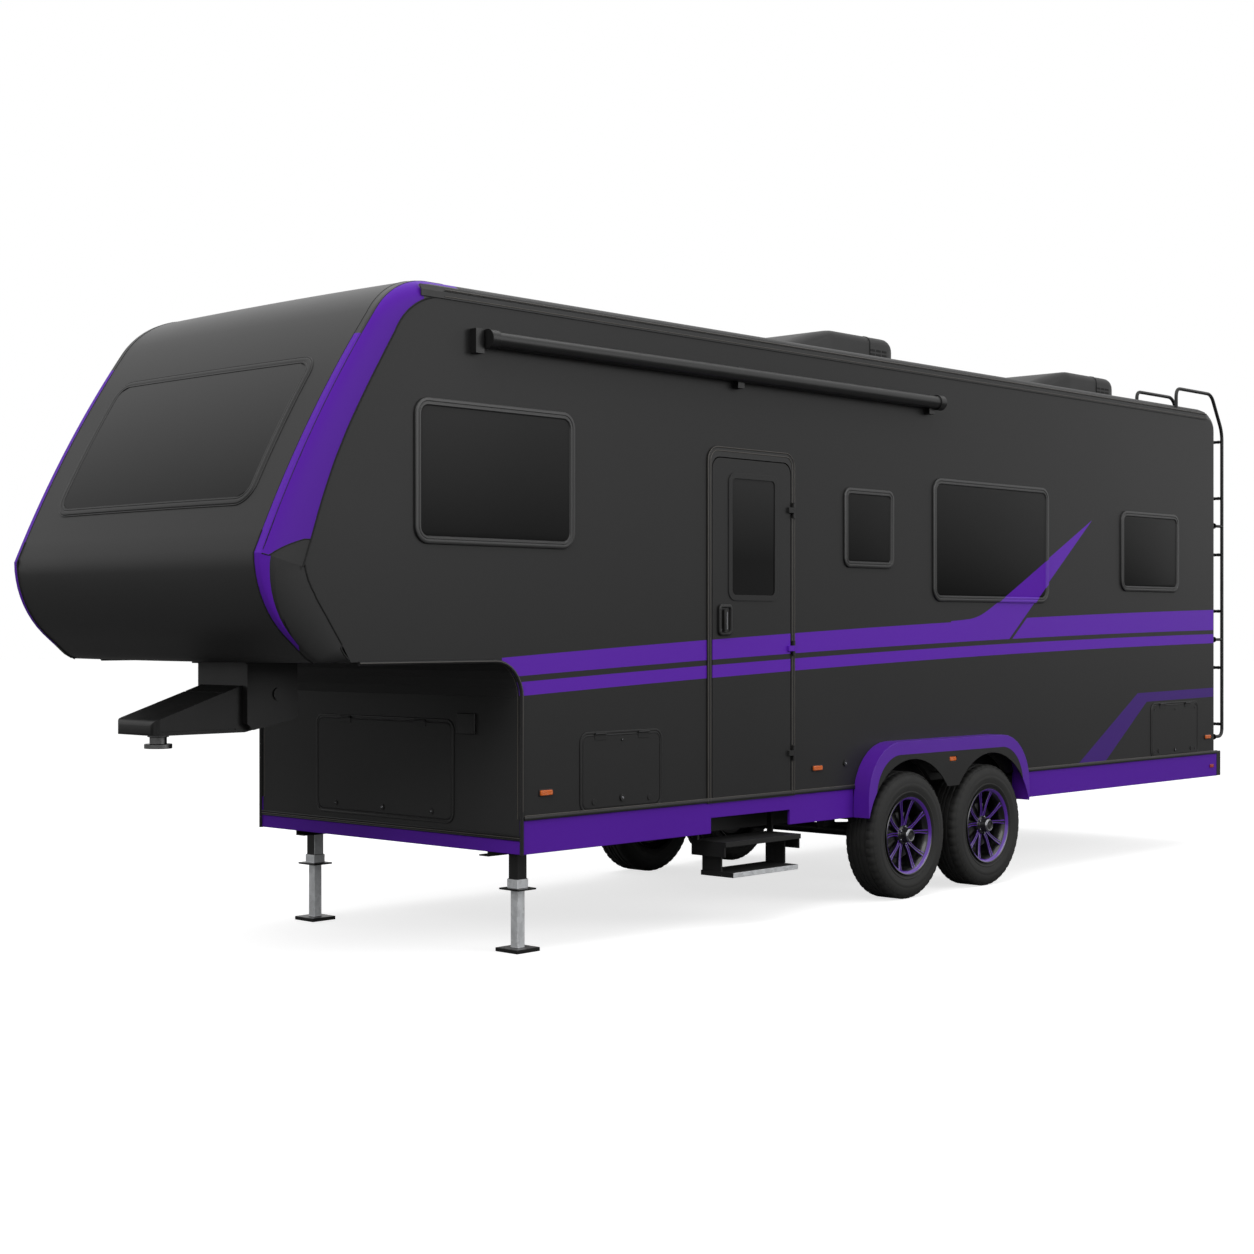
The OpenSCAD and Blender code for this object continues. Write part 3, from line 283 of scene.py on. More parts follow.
def crossed_by_spear(name, color, rough, lift=1.5, shine=0.5):
    """A window frame or pane that carries a piece of the spear, and is paler towards its top as a painted
    reflection.
    """
    f = Finish(name, color, Specular_IOR_Level=shine)
    st, height, outside = side_axes(f)
    spear = stripe_masks(st, height)[1] * outside
    cloud = f.noise(3.0)
    # Painted reflection: from 2050 mm up the colour grows towards lift times its own
    rise = ((height - 2050) * 0.0012).most(0.0).least(1.0)
    plain = f.blend(rise, f.shade(f.color, cloud * 0.2 + 0.9), f.shade(f.color, cloud * 0.3 + lift))
    f.feed(Base_Color=f.blend(spear, plain, f.shade(PURPLE, cloud * 0.08 + 0.9)),
           Roughness=spear * 0.2 + rough)
    return f


def arch_paint(name):
    """Purple along the arch's outer edge, and black on the plate between the wheels."""
    f = Finish(name, "5a22a4", Specular_IOR_Level=0.35)
    x, _, z = f.axes()
    half_flat, corner_z, plate_r = 609, 692, 268       # the plate's level top, its corners' middle and radius
    out = (abs(x * 1000 + (MID - AXLE_ST)) - half_flat).most(0.0)
    up = (z * 1000 - corner_z).most(0.0)
    band = ((out * out + up * up).root() - plate_r).step(1.5)
    cloud = f.noise(2.0)
    f.feed(Base_Color=f.blend(band, f.shade(tone("1c1c1c"), cloud * 0.2 + 0.9),
                              f.shade(f.color, cloud * 0.1 + 0.95)), Roughness=cloud * 0.1 + 0.25)
    return f.relief(f.noise(220.0, 1.0), 0.0004, 0.12)


def lens(name, color):
    """Moulded lens with a fine waffle of ribs."""
    f = Finish(name, color, Roughness=0.22, Coat_Weight=0.3, Emission_Strength=0.05)
    x, _, z = f.axes()
    f.feed(Base_Color=f.shade(f.color, f.noise(60.0) * 0.4 + 0.8), Emission_Color=f.color)
    return f.relief((x * 1900).sine() * (z * 1900).sine(), 0.0006, 0.4)


def rubber(name):
    """Tyre rubber, dusty in patches."""
    f = Finish(name, "262625", Specular_IOR_Level=0.3)
    cloud, fine = f.noise(9.0), f.noise(700.0, 2.0)
    f.feed(Base_Color=f.shade(f.color, cloud * 0.35 + 0.82), Roughness=cloud * 0.2 + 0.58)
    return f.relief(fine, 0.0004, 0.15)


FINISH = {
    "body": striped_paint("side_panel_paint"),
    # The cap's paint carries a painted highlight towards the roof
    "grey": gloss_paint("nose_cap_paint", "303030", 0.4, 0.0, 0.13, 3.6),
    "roof": moulded("roof_sheet", "2c2c2c", 0.6, 500.0),
    "purple": gloss_paint("purple_paint", "5a22a6", 0.42, 0.0, 0.08),
    "under": moulded("underbody_sheet", "161616", 0.75, 300.0),
    "chassis": moulded("chassis_paint", "151515", 0.45, 500.0),
    "black": moulded("black_paint", "131313", 0.38, 500.0),
    "pin": metal("kingpin_steel", "6d6d6d", 0.34),
    "zinc": metal("galvanised_steel", "d6d8da", 0.42, 0.55, spangled=True),
    "trim": moulded("black_trim", "191919", 0.42, 1100.0),
    "step": moulded("step_grip", "141414", 0.6, 260.0, 0.5),
    "glass": dark_glass("window_glass"),
    "awning": moulded("awning_case", "1a1a1a", 0.34, 900.0),
    "cooler": moulded("cooler_shell", "232323", 0.5, 800.0),
    "ladder": moulded("ladder_paint", "1b1b1b", 0.36, 700.0),
    "amber": lens("amber_lens", "cf5f06"),
    "red": lens("red_lens", "9c1410"),
    "tyre": rubber("tyre_rubber"),
    "wheel": gloss_paint("wheel_black", "0f0f0f", 0.3, 0.4),
    "arch": arch_paint("wheel_arch_paint"),
    "nose_glass": dark_glass("nose_window_glass"),
    # Frames and panes carry a painted reflection towards their top, the panes the stronger one
    "window_trim": crossed_by_spear("window_frame_trim", "161616", 0.4),
    "window_pane": crossed_by_spear("side_window_glass", "0e0e0e", 0.3, 5.5, 0.05),
    "arm": gloss_paint("wheel_purple", "5a2aa0", 0.28, 0.5),
    "hubcap": metal("hub_cap_rim", "8a8a8e", 0.25),
    # Paler beads that stand for painted highlights on mouldings and frames
    "bronze": moulded("bead_painted_highlight", "4b4844", 0.34, 900.0),
}

# The finish of each carried-over solid
CARRIED = {
    "side_wall_left": "body", "side_wall_right": "body", "rear_wall": "grey", "roof": "roof",
    "nose_cap": "grey", "nose_corners": "purple", "nose_floor": "grey",
    "front_bulkhead": "grey", "floor": "under", "eaves_trims": "trim", "skirts": "purple",
    "wheel_arches": "purple", "wheel_boxes": "under", "chassis": "chassis",
    "suspension": "chassis", "axles": "chassis", "pin_box": "black", "kingpin": "pin",
    "landing_legs": "zinc", "window_frames": "trim", "window_glass": "glass",
    "door_frame": "trim", "entry_door": "body", "door_glass": "glass", "door_handle": "trim",
    "entry_step": "step", "hatch_frames": "trim", "front_hatch": "grey",
    "baggage_door_left": "body", "baggage_door_right": "body", "rear_hatch_left": "body",
    "rear_hatch_right": "body", "awning": "awning", "air_conditioners": "cooler",
    "ladder": "ladder", "side_lamps": "amber", "tail_lamps": "red", "rear_bumper": "chassis",
    "utility_box": "trim",
}
for solid, o in frame["nodes"].items():
    kind = CARRIED.get(solid, "tyre" if solid.startswith("tyre") else "wheel")
    o.data.materials.clear()
    o.data.materials.append(FINISH[kind].made)


# Making pieces
def settle(name, mesh, kinds, body, slot, nodes=(), smooth=32.0):
    """Gives a new mesh its finishes and body, and hides the solids that it stands for; its slot is not used.
    """
    for kind in [kinds] if isinstance(kinds, str) else kinds:
        mesh.materials.append(FINISH[kind].made)
    mesh.polygons.foreach_set("use_smooth", [True] * len(mesh.polygons))
    mesh.set_sharp_from_angle(angle=math.radians(smooth))
    o = bpy.data.objects.new(name, mesh)
    bpy.context.scene.collection.objects.link(o)
    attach(o, body)
    if nodes:
        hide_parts(*nodes)
    return o


class Shape:
    """Points and faces of one piece, gathered part by part."""

    def __init__(self):
        self.points, self.faces, self.shades = [], [], []

    def loft(self, rings, shade=0, closed=True, cap_first=False, cap_last=False):
        """Skins rings of points; shade is a finish's number, or gives it from ring and place in it."""
        base, n = len(self.points), len(rings[0])
        for ring in rings:
            self.points += [Vector(p) for p in ring]
        for i in range(len(rings) - 1):
            for k in range(n if closed else n - 1):
                a, b = base + i * n + k, base + i * n + (k + 1) % n
                self.faces.append((a, b, b + n, a + n))
                self.shades.append(shade if isinstance(shade, int) else shade(i, k))
        for wanted, start in ((cap_first, base), (cap_last, base + (len(rings) - 1) * n)):
            if wanted:
                self.faces.append(tuple(range(start, start + n)))
                self.shades.append(shade if isinstance(shade, int) else 0)

    def tube(self, path, radius, sides=8, shade=0):
        """A round bead along a path."""
        path = [Vector(p) for p in path]
        rings, side = [], None
        for i, p in enumerate(path):
            d = (path[min(i + 1, len(path) - 1)] - path[max(i - 1, 0)]).normalized()
            if side is None:
                side = d.cross(Vector((0, 0, 1)) if abs(d.z) < 0.9 else Vector((0, 1, 0)))
            side = (side - d * side.dot(d)).normalized()
            up = d.cross(side)
            rings.append([p + radius * (math.cos(a) * side + math.sin(a) * up)
                          for a in (2 * math.pi * k / sides for k in range(sides))])
        self.loft(rings, shade, cap_first=True, cap_last=True)

    def turn(self, profile, place, steps=48, shade=0):
        """Revolves [radius, height] pairs; place takes x, y, height."""
        rings = [[place(r * math.cos(a), r * math.sin(a), h)
                  for a in (2 * math.pi * k / steps for k in range(steps))] for r, h in profile]
        self.loft(rings, shade)

    def band(self, outline, profile, place, shade=0, fill=False):
        """Follows an outline with a profile of [inset, height] pairs, and fills its middle when fill is set.
        """
        rings = [[place(u, v, h) for u, v in outline(inset)] for inset, h in profile]
        self.loft(rings, shade, cap_last=fill)

    def block(self, lo, hi, shade=0):
        """A box between two corners."""
        corners = (lo[0], lo[1]), (hi[0], lo[1]), (hi[0], hi[1]), (lo[0], hi[1])
        self.loft([[(x, y, z) for x, y in corners] for z in (lo[2], hi[2])], shade,
                  cap_first=True, cap_last=True)

    def make(self, name, kinds, slot, body="root", nodes=(), smooth=32.0):
        """Turns the shape into a piece, welded and with its faces outward."""
        mesh = bpy.data.meshes.new(name)
        mesh.from_pydata([tuple(p) for p in self.points], [], self.faces)
        mesh.polygons.foreach_set("material_index", self.shades)
        bm = bmesh.new()
        bm.from_mesh(mesh)
        bmesh.ops.remove_doubles(bm, verts=bm.verts, dist=1e-6)
        bmesh.ops.recalc_face_normals(bm, faces=bm.faces)
        bm.to_mesh(mesh)
        bm.free()
        return settle(name, mesh, kinds, body, slot, nodes, smooth)


def round_edges(o, width):
    edge = o.modifiers.new("edges", "BEVEL")
    edge.width, edge.segments, edge.limit_method = width, 2, "ANGLE"
    edge.angle_limit, edge.use_clamp_overlap = math.radians(35), True
    even = o.modifiers.new("normals", "WEIGHTED_NORMAL")
    even.keep_sharp, even.weight = True, 80


def dress(solid, kinds, slot, bevel, paint=None):
    """A solid's own form with rounded edges; paint picks a finish by a face's middle and normal."""
    source = frame["nodes"][solid]
    bm = bmesh.new()
    bm.from_mesh(source.data)
    bmesh.ops.remove_doubles(bm, verts=bm.verts, dist=2e-5)
    bmesh.ops.dissolve_limit(bm, angle_limit=math.radians(0.6), verts=bm.verts, edges=bm.edges)
    for face in bm.faces:
        face.material_index = paint(face.calc_center_median() * 1000, face.normal) if paint else 0
    mesh = bpy.data.meshes.new(solid + "_dressed")
    bm.to_mesh(mesh)
    bm.free()
    round_edges(settle(solid + "_dressed", mesh, kinds, source["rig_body"], slot, (solid,)), bevel)


def rounded(x0, y0, x1, y1, r, n=8):
    """A rounded rectangle's points."""
    points = []
    for cx, cy, start in ((x1 - r, y0 + r, -90), (x1 - r, y1 - r, 0), (x0 + r, y1 - r, 90),
                          (x0 + r, y0 + r, 180)):
        for i in range(n + 1):
            a = math.radians(start + 90 * i / n)
            points.append((cx + r * math.cos(a), cy + r * math.sin(a)))
    return points


def on_side(side):
    """Places station, height and stand-off from the side wall, in mm."""
    return lambda u, v, h: (at(u), side * (HALF_W + h) / 1000, v / 1000)


def on_bulkhead(u, v, h):
    """Places distance to the left, height and stand-off from the bulkhead, in mm."""
    return (at(BULKHEAD_ST + h), u / 1000, v / 1000)


def arc(cx, cz, r, a0, a1, n=8):
    """Points round a middle, from one angle to another."""
    return [(cx + r * math.cos(math.radians(a0 + (a1 - a0) * i / n)),
             cz + r * math.sin(math.radians(a0 + (a1 - a0) * i / n))) for i in range(n + 1)]


def stud(shape, place, u, v, r, h, shade=0):
    """A low round lock or screw with a rim and a sunk middle."""
    shape.turn([(r, -1), (r, h - 1.5), (r - 1.5, h), (r * 0.6, h), (r * 0.52, h - 1.2), (0.05, h - 1.2)],
               lambda a, b, c: place(u + a, v + b, c), 20, shade)


# The nose: its side view is a line of numbered points, 0 at the lower rear edge and 23 on the roof.
# Points are station and height in mm; CHIN and BROW are the middles of its two round stretches
CHIN, BROW = Vector((9180.0, 2155.0)), Vector((8612.0, 3100.0))
CHIN_R, BROW_R, LEAN = 540.0, 500.0, 35.5
CHIN_START = -50                # angle at which the chin's round stretch starts
CHIN_EDGE = Vector((9180.0, 1615.0))


def round_from(middle, r, degrees):
    a = math.radians(degrees)
    return middle + r * Vector((math.cos(a), math.sin(a)))


BROW_START = round_from(BROW, BROW_R, LEAN)
# The chin's lower edge, and the seam of its corner with the side wall beside each of its points
CHIN_FOOT = [CHIN_EDGE + Vector(p) for p in ((0, 0), (180, 0), (225, 23), (287, 76))]
CHIN_FOOT.append(round_from(CHIN, CHIN_R, CHIN_START))
CHIN_SEAM = [CHIN_EDGE + Vector(p) for p in ((0, 6), (52, 90), (105, 166), (152, 234), (200, 302))]
# Further up: the corner's depth and its width by point number, and the face's crown
DEPTHS = ((5, 243), (6, 246), (9, 252), (10, 236), (11, 212), (12, 192), (13, 180), (15, 168), (19, 130),
          (22, 100))
CORNERS = ((0, 46), (16, 46), (22, 110))
CROWN, BELLY = 8.0, 37.0        # rise of the face across its width and along its straight stretch


def lookup(table, t):
    """A value from pairs, straight between them and level past the ends."""
    t = min(max(t, table[0][0]), table[-1][0])
    for (t0, v0), (t1, v1) in zip(table, table[1:]):
        if t <= t1:
            return v0 + (v1 - v0) * (t - t0) / (t1 - t0)


def nose_line(t):
    """The nose in side view, from its lower rear edge, t = 0, round the tip, 9, to the roof, 23."""
    t = min(max(t, 0.0), 23.0)
    if t < 4:
        i = int(t)
        return CHIN_FOOT[i].lerp(CHIN_FOOT[i + 1], t - i)
    if t <= 9:
        return round_from(CHIN, CHIN_R, 10 * (t - 4) + CHIN_START)
    if t <= 16:
        u, first = (t - 9) / 7, CHIN + Vector((CHIN_R, 0))
        d = BROW_START - first
        return first + u * d + 4 * BELLY * u * (1 - u) * Vector((d.y, -d.x)).normalized()
    if t <= 22:
        return round_from(BROW, BROW_R, LEAN + (90 - LEAN) * (t - 16) / 6)
    return Vector((BROW.x - 180 * (t - 22), ROOF_Z))


def nose_row(i):
    """The direction out of the body and the rounded corner's depth at one point of the line."""
    if i < len(CHIN_SEAM):
        d = CHIN_FOOT[i] - CHIN_SEAM[i]
        return d.normalized(), d.length
    d = nose_line(i + 1) - nose_line(i - 1)
    return Vector((d.y, -d.x)).normalized(), lookup(DEPTHS, i)


NOSE_ROWS = [nose_row(i) for i in range(24)]


def nose_out(t):
    """The direction out of the body, in side view."""
    i = min(int(t), 22)
    return NOSE_ROWS[i][0].lerp(NOSE_ROWS[i + 1][0], t - i)


def nose_skin(t, k, inward=0.0):
    """A point of the nose: k to 1 runs over the face, and 1 to 2 round the corner to the side wall."""
    i, side, k = min(int(t), 22), math.copysign(1, k), abs(k)
    depth = NOSE_ROWS[i][1] + (NOSE_ROWS[i + 1][1] - NOSE_ROWS[i][1]) * (t - i)
    corner = lookup(CORNERS, t)
    face, rise = HALF_W - corner, min(CROWN, depth * 0.4)
    if k <= 1:
        y, d = face * k, inward + rise * k * k
    else:
        a = math.radians(90 * (k - 1))
        y = face + (corner - inward) * math.sin(a)
        d = rise + inward * math.cos(a) + (depth - rise) * (1 - math.cos(a))
    p = nose_line(t) - d * nose_out(t)
    return Vector((at(p.x), side * y / 1000, p.y / 1000))


def spread(a, b, step):
    """Even steps from one value to another."""
    n = max(1, round(abs(b - a) / step))
    return [a + (b - a) * i / n for i in range(n + 1)]


def skin_part(shape, t0, t1, k0, k1, shade=0, thick=34.0, step=0.25, side=1):
    """A panel of the nose; k0 and k1 may change along t, or t0 and t1 over k."""
    def value(v, x):
        return v(x) if callable(v) else v

    slanted = callable(t0) or callable(t1)
    outer, inner = [], []
    for u in spread(0, 1, step / 12):
        spots = []
        for w in spread(0, 1, 0.0625):
            if slanted:
                k = k0 * (1 - w) + k1 * w
                t = value(t0, k) * (1 - u) + value(t1, k) * u
            else:
                t = t0 * (1 - u) + t1 * u
                k = value(k0, t) * (1 - w) + value(k1, t) * w
            spots.append((t, side * k))
        outer.append([nose_skin(t, k) for t, k in spots])
        inner.append([nose_skin(t, k, thick) for t, k in spots])
    shape.loft([a + b[::-1] for a, b in zip(outer, inner)], shade)
    for i in (0, -1):
        shape.loft([outer[i], inner[i]], shade, closed=False)


STRIP = 0.97            # where the purple begins on the face
CUT = ((1.0, 9.0), (1.4, 9.0), (1.9, 9.8), (2.0, 9.9))      # the moulding's slanted lower end


TAIL_T, TIP_T = 2.6, 9.0        # where the purple tail under the moulding runs out, and the nose's tip
# Widths of the purple tail and of the painted groove shade beside it
TAIL_W, GROOVE_SHADE_W = 0.47, 0.16


def tail_edge(t):
    """The rear edge of the purple tail under the moulding."""
    return STRIP + TAIL_W * max(0.0, (t - TAIL_T) / (TIP_T - TAIL_T)) ** 0.75


def groove_shade_edge(t):
    """The rear edge of the painted shade of a groove beside the tail."""
    return tail_edge(t) + GROOVE_SHADE_W * max(0.0, (t - TAIL_T) / (TIP_T - TAIL_T))


def nose():
    """The cap with its window, the purple mouldings on its corners and the seams."""
    cap = Shape()
    skin_part(cap, 0, 23, -STRIP, STRIP)
    mouldings, seams = Shape(), Shape()
    for side in (1, -1):
        skin_part(cap, 0, TAIL_T, STRIP, 2, 0, step=1, side=side)
        skin_part(cap, TAIL_T, TIP_T, STRIP, tail_edge, 1, step=1, side=side)
        # A black band beside the tail: painted shade of a groove
        skin_part(cap, TAIL_T, TIP_T, tail_edge, groove_shade_edge, 2, step=1, side=side)
        skin_part(cap, TAIL_T, TIP_T, groove_shade_edge, 2, 0, step=1, side=side)
        skin_part(cap, TIP_T, lambda k: lookup(CUT, k), STRIP + TAIL_W, 2, 0, step=3, side=side)
        # The strip on the face, the band round the corner and the dark end of each on the roof
        skin_part(mouldings, TIP_T, 15.3, STRIP, 1.2, 0, step=0.5, side=side)
        skin_part(mouldings, lambda k: lookup(CUT, k), 15.3, 1.2, 2, 0, step=0.5, side=side)
        skin_part(mouldings, 15.3, 20.6, 1.2, 2, 0, step=0.5, side=side)
        skin_part(mouldings, 20.6, 23, 1.2, 1.45, 0, step=1, side=side)
        skin_part(mouldings, 20.6, 23, 1.45, 2, 1, step=1, side=side)
        skin_part(mouldings, 15.3, 23, STRIP, 1.2, 1, step=0.5, side=side)
        # Rubber seams beside the mouldings and down the joint with the side wall
        seams.tube([nose_skin(t, side * 2.0) for t in spread(0.1, 22.8, 0.2)], 0.005)
        seams.tube([nose_skin(t, side * STRIP) for t in spread(1.0, 9.6, 0.2)], 0.0055)
        seams.tube([nose_skin(t, side * STRIP) for t in spread(9.6, 22.8, 0.2)], 0.002)
        seams.tube([nose_skin(t, side * 1.2) for t in spread(9.1, 22.6, 0.2)], 0.0018)
        seams.tube([nose_skin(lookup(CUT, k), side * k) for k in spread(1.2, 2.0, 0.1)], 0.003)
    cap.make("nose_cap_skin", ["grey", "purple", "trim"], "body_grey", nodes=("nose_cap",), smooth=40)
    mouldings.make("nose_corner_mouldings", ["purple", "grey"], "purple", nodes=("nose_corners",), smooth=40)
    seams.make("nose_seams", "under", "black_trim")

    # The nose window follows the face; its frame is painted as the cap and held by thin gaskets
    lower, upper = (next(t for t in spread(TIP_T, 16, 0.005) if nose_line(t).y >= z) for z in (2400, 3172))
    length = (nose_line(upper) - nose_line(lower)).length
    half, lap, pane_r = 885, 44, 74       # half the window's width, the frame's width, the glass's corners

    def on_face(u, v, h):
        t = lower + (upper - lower) * (v / length)
        p = nose_skin(t, u / (HALF_W - lookup(CORNERS, t)))
        out = nose_out(t)
        return p + Vector((out.x, 0, out.y)) * (h / 1000)

    def outline(inset):
        return finer(rounded(-half + inset, inset, half - inset, length - inset,
                             max(lap + pane_r - inset, 20)), 60)

    frame_ring = Shape()
    frame_ring.band(outline, [(-4, -4), (-4, 2), (-2, 4), (2, 4), (5, 2)], on_face, 1)
    frame_ring.band(outline, [(5, 2), (9, 6), (14, 7), (26, 7), (32, 5)], on_face, 0)
    frame_ring.band(outline, [(32, 5), (34, 7), (42, 7), (46, 2)], on_face, 1)
    frame_ring.make("nose_window_frame", ["grey", "trim"], "black_trim", nodes=("window_frames",))
    pane, rows = Shape(), []
    for i in range(25):
        v = lap + (length - 2 * lap) * i / 24
        past = max(0.0, pane_r - min(v - lap, length - lap - v))        # how far into the rounded corners
        reach = half - lap - pane_r + math.sqrt(max(0.0, pane_r ** 2 - past ** 2))
        rows.append([on_face(reach * (k / 16 - 1), v, 4) for k in range(33)])
    pane.loft(rows, closed=False)
    pane.make("nose_window_pane", "nose_glass", "dark_glass", nodes=("window_glass",))


def finer(points, longest):
    """Adds points to a closed outline's long sides, so that it can bend."""
    out = []
    for a, b in zip(points, points[1:] + points[:1]):
        n = max(1, int(math.dist(a, b) / longest))
        out += [(a[0] + (b[0] - a[0]) * i / n, a[1] + (b[1] - a[1]) * i / n) for i in range(n)]
    return out


# Side windows from the front: station from, height from, station to, height to, corner radius
WINDOWS = ((7601, 2224, 8768, 2978, 90), (4585.8, 2180, 5129.7, 2696, 60),
           (2646.1, 1970, 4128.3, 2811, 90), (670.3, 2073, 1589.9, 2695, 80))
# A window frame's section: distance inward from its outer edge, and height off the wall
FRAME_PROFILE = [(0, 0), (0, 8), (2, 12), (7, 14), (17, 14), (21, 11.5), (25, 11.5), (28, 13.5), (36, 13.5),
                 (40, 10), (44, 5)]


def side_windows():
    """Frames with two raised lines, and panes with a rounded edge."""
    frames, panes = Shape(), Shape()
    for side in (1, -1):
        for x0, z0, x1, z1, r in WINDOWS:
            def outline(inset):
                return rounded(x0 + inset, z0 + inset, x1 - inset, z1 - inset, max(r - inset, 18))
            frames.band(outline, FRAME_PROFILE, on_side(side))
            panes.band(outline, [(45, 3), (43, 7), (50, 8)], on_side(side), fill=True)
    frames.make("side_window_frames", "window_trim", "black_trim", nodes=("window_frames",))
    panes.make("side_window_panes", "window_pane", "dark_glass", nodes=("window_glass",), smooth=20)


def lamp(shape, outline, place, base_h, lens_h):
    """A lens on a slightly larger base."""
    shape.band(lambda i: outline(i - 5), [(0, 0), (0, base_h - 2), (2, base_h), (5, base_h)], place, 0)
    shape.band(outline, [(0, base_h - 1), (1, lens_h - 3), (4, lens_h)], place, 1, fill=True)


def lamps():
    """Amber marker lamps: three on each side wall and one over the wheels."""
    arch_out = 117              # how far the arch's plate stands off the wall
    side_lamps = Shape()
    for side in (1, -1):
        wall = on_side(side)
        for place, u, v, half_l, half_h, r, base_h, lens_h in (
                (wall, 7822, 895, 47, 15, 7, 6, 14), (wall, 5408, 906, 47, 15, 7, 6, 14),
                (wall, 170, 896, 47, 15, 7, 6, 14),
                (lambda u, v, h: wall(u, v, h + arch_out), AXLE_ST, 906, 38, 15, 6, 3, 8)):
            def outline(i):
                return rounded(u - half_l + i, v - half_h + i, u + half_l - i, v + half_h - i, r, 4)
            lamp(side_lamps, outline, place, base_h, lens_h)
    side_lamps.make("side_marker_lamps", ["trim", "amber"], "amber_lens", nodes=("side_lamps",))


nose()
side_windows()
lamps()

# Wheels: the tyre's radius, half its width and the rim's radius, and how far out the wheel's middle lies
TYRE_R, TYRE_H, RIM_R, WHEEL_Y = 421.0, 122.0, 261.0, 1134.0


def wheel_meshes():
    """One tyre and one wheel about their own centre, with the outer face towards +Y, in metres."""
    def about(x, z, h):
        return (x / 1000, h / 1000, z / 1000)

    # Grooves between four pairs of edges, as across and depth; then the wall, as radius and half width
    tread = [(-80, 0), (-62, 0), (-58, 9), (-50, 9), (-46, 0), (-22, 0), (-18, 9), (-10, 9), (-6, 0), (6, 0),
             (10, 9), (18, 9), (22, 0), (46, 0), (50, 9), (58, 9), (62, 0), (80, 0)]
    t, b, h = TYRE_R, RIM_R, TYRE_H
    wall = [(t - 3, 92), (t - 12, 103), (t - 17, 106), (t - 18, 103), (t - 24, 109), (t - 50, h - 3),
            (t - 72, h), (t - 80, h - 1), (t - 82, h), (t - 100, h - 2), (b + 30, 113), (b + 26, 115),
            (b + 18, 113), (b + 14, 108), (b + 2, 100), (b - 8, 98), (b - 8, 78)]
    tyre, rings, steps = Shape(), [], 180
    for r, w in [(r, -w) for r, w in reversed(wall)] + [(t - cut, w) for w, cut in tread] + wall:
        ring = []
        for k in range(steps):
            cut = 0.0
            if abs(w) >= 62 and r > t - 20:
                cut = 6.0 if k % 4 == 0 else 0.0                              # sipes in the shoulders
            elif r >= t - 0.5:
                cut = 3.0 if (k + (2 if w > 0 else 0)) % 6 == 0 else 0.0      # and in the ribs
            a = 2 * math.pi * k / steps
            ring.append(about((r - cut) * math.cos(a), (r - cut) * math.sin(a), w))
        rings.append(ring)
    tyre.loft(rings)

    # The rim from its inner flange, the painted ring at its outer one, and the well behind the arms
    hub = Shape()
    hub.turn([(b - 46, -62), (b - 20, -78), (b - 12, -108), (b - 3, -116), (b, -110), (b - 9, -100),
              (b - 9, -76), (b - 34, -54), (b - 34, 54), (b - 9, 76), (b - 9, 100), (b, 110), (b - 3, 116),
              (b - 8, 113)], about, 96, 0)
    hub.turn([(b - 8, 113), (b - 11, 112), (b - 17, 104), (b - 24, 98)], about, 96, 1)
    hub.turn([(b - 24, 98), (b - 30, 84), (b - 44, 60), (b - 46, -62)], about, 96, 0)
    # Ten arms in five pairs: raised painted edges beside a black channel. Along an arm: distance out,
    # distance aside of the pair's line, half width, height; across it: share of the half width, rise
    arm = [(50, 14, 14, 62), (76, 16, 12.5, 68), (104, 22, 11, 72), (134, 31, 11, 76), (164, 42, 12, 80),
           (196, 56, 14, 86), (222, 67, 17, 93), (238, 74, 19, 98)]
    across = [(-1.0, -22), (-1.0, -3), (-0.86, 0), (-0.5, 0), (-0.42, -4), (0.42, -4), (0.5, 0), (0.86, 0),
              (1.0, -3), (1.0, -22)]
    painted = {1, 2, 3, 5, 6, 7}
    for pair in range(5):
        turn = math.radians(90 + 72 * pair)
        for flip in (1, -1):
            rings = []
            for out, aside, half, top in arm:
                ring = []
                for w, rise in across:
                    u, v = out, flip * (aside + w * half)
                    ring.append(about(u * math.cos(turn) - v * math.sin(turn),
                                      u * math.sin(turn) + v * math.cos(turn), top + rise))
                rings.append(ring)
            hub.loft(rings, lambda i, k: 1 if k in painted else 0, cap_first=True, cap_last=True)
    # Hub with its cap, nuts and the drum behind the arms
    hub.turn([(b - 45, -58), (158, -60), (158, 26), (150, 34), (96, 38), (70, 42), (66, 62), (60, 70),
              (52, 72), (48, 78), (46, 112), (42, 122), (36, 126), (30, 125), (27, 121), (12, 121),
              (10, 123), (0.1, 123)], about, 64, 0)
    hub.turn([(44.5, 117), (42, 122.6), (36, 126.6), (33, 126)], about, 64, 2)
    for k in range(6):
        a = math.radians(60 * k + 30)
        x, z = 57 * math.cos(a), 57 * math.sin(a)
        hub.turn([(8, 66), (8, 82), (6, 85), (0.1, 86)], lambda p, q, y: about(x + p, z + q, y), 6, 2)
    return tyre, hub


def wheels():
    """Four tyres and four wheels that share two meshes, each turning with its own body."""
    tyre, hub = wheel_meshes()
    first = {}
    for row, station in (("front", AXLE_ST + AXLE_APART / 2), ("rear", AXLE_ST - AXLE_APART / 2)):
        for side, s in (("left", 1), ("right", -1)):
            for part, shape, kinds, slot in (("tyre", tyre, "tyre", "tyre"),
                                             ("wheel", hub, ["wheel", "arm", "hubcap"], "wheel_paint")):
                name = f"{part}_{row}_{side}"
                if part in first:
                    o = bpy.data.objects.new(name + "_dressed", first[part].data)
                    bpy.context.scene.collection.objects.link(o)
                else:
                    o = first[part] = shape.make(name + "_dressed", kinds, slot, f"wheel_{row}_{side}",
                                                 smooth=38)
                    o.parent = None
                o.location = (at(station), s * WHEEL_Y / 1000, TYRE_R / 1000)
                o.rotation_euler = (0, 0, 0 if s == 1 else math.pi)
                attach(o, f"wheel_{row}_{side}")
                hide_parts(name)


wheels()

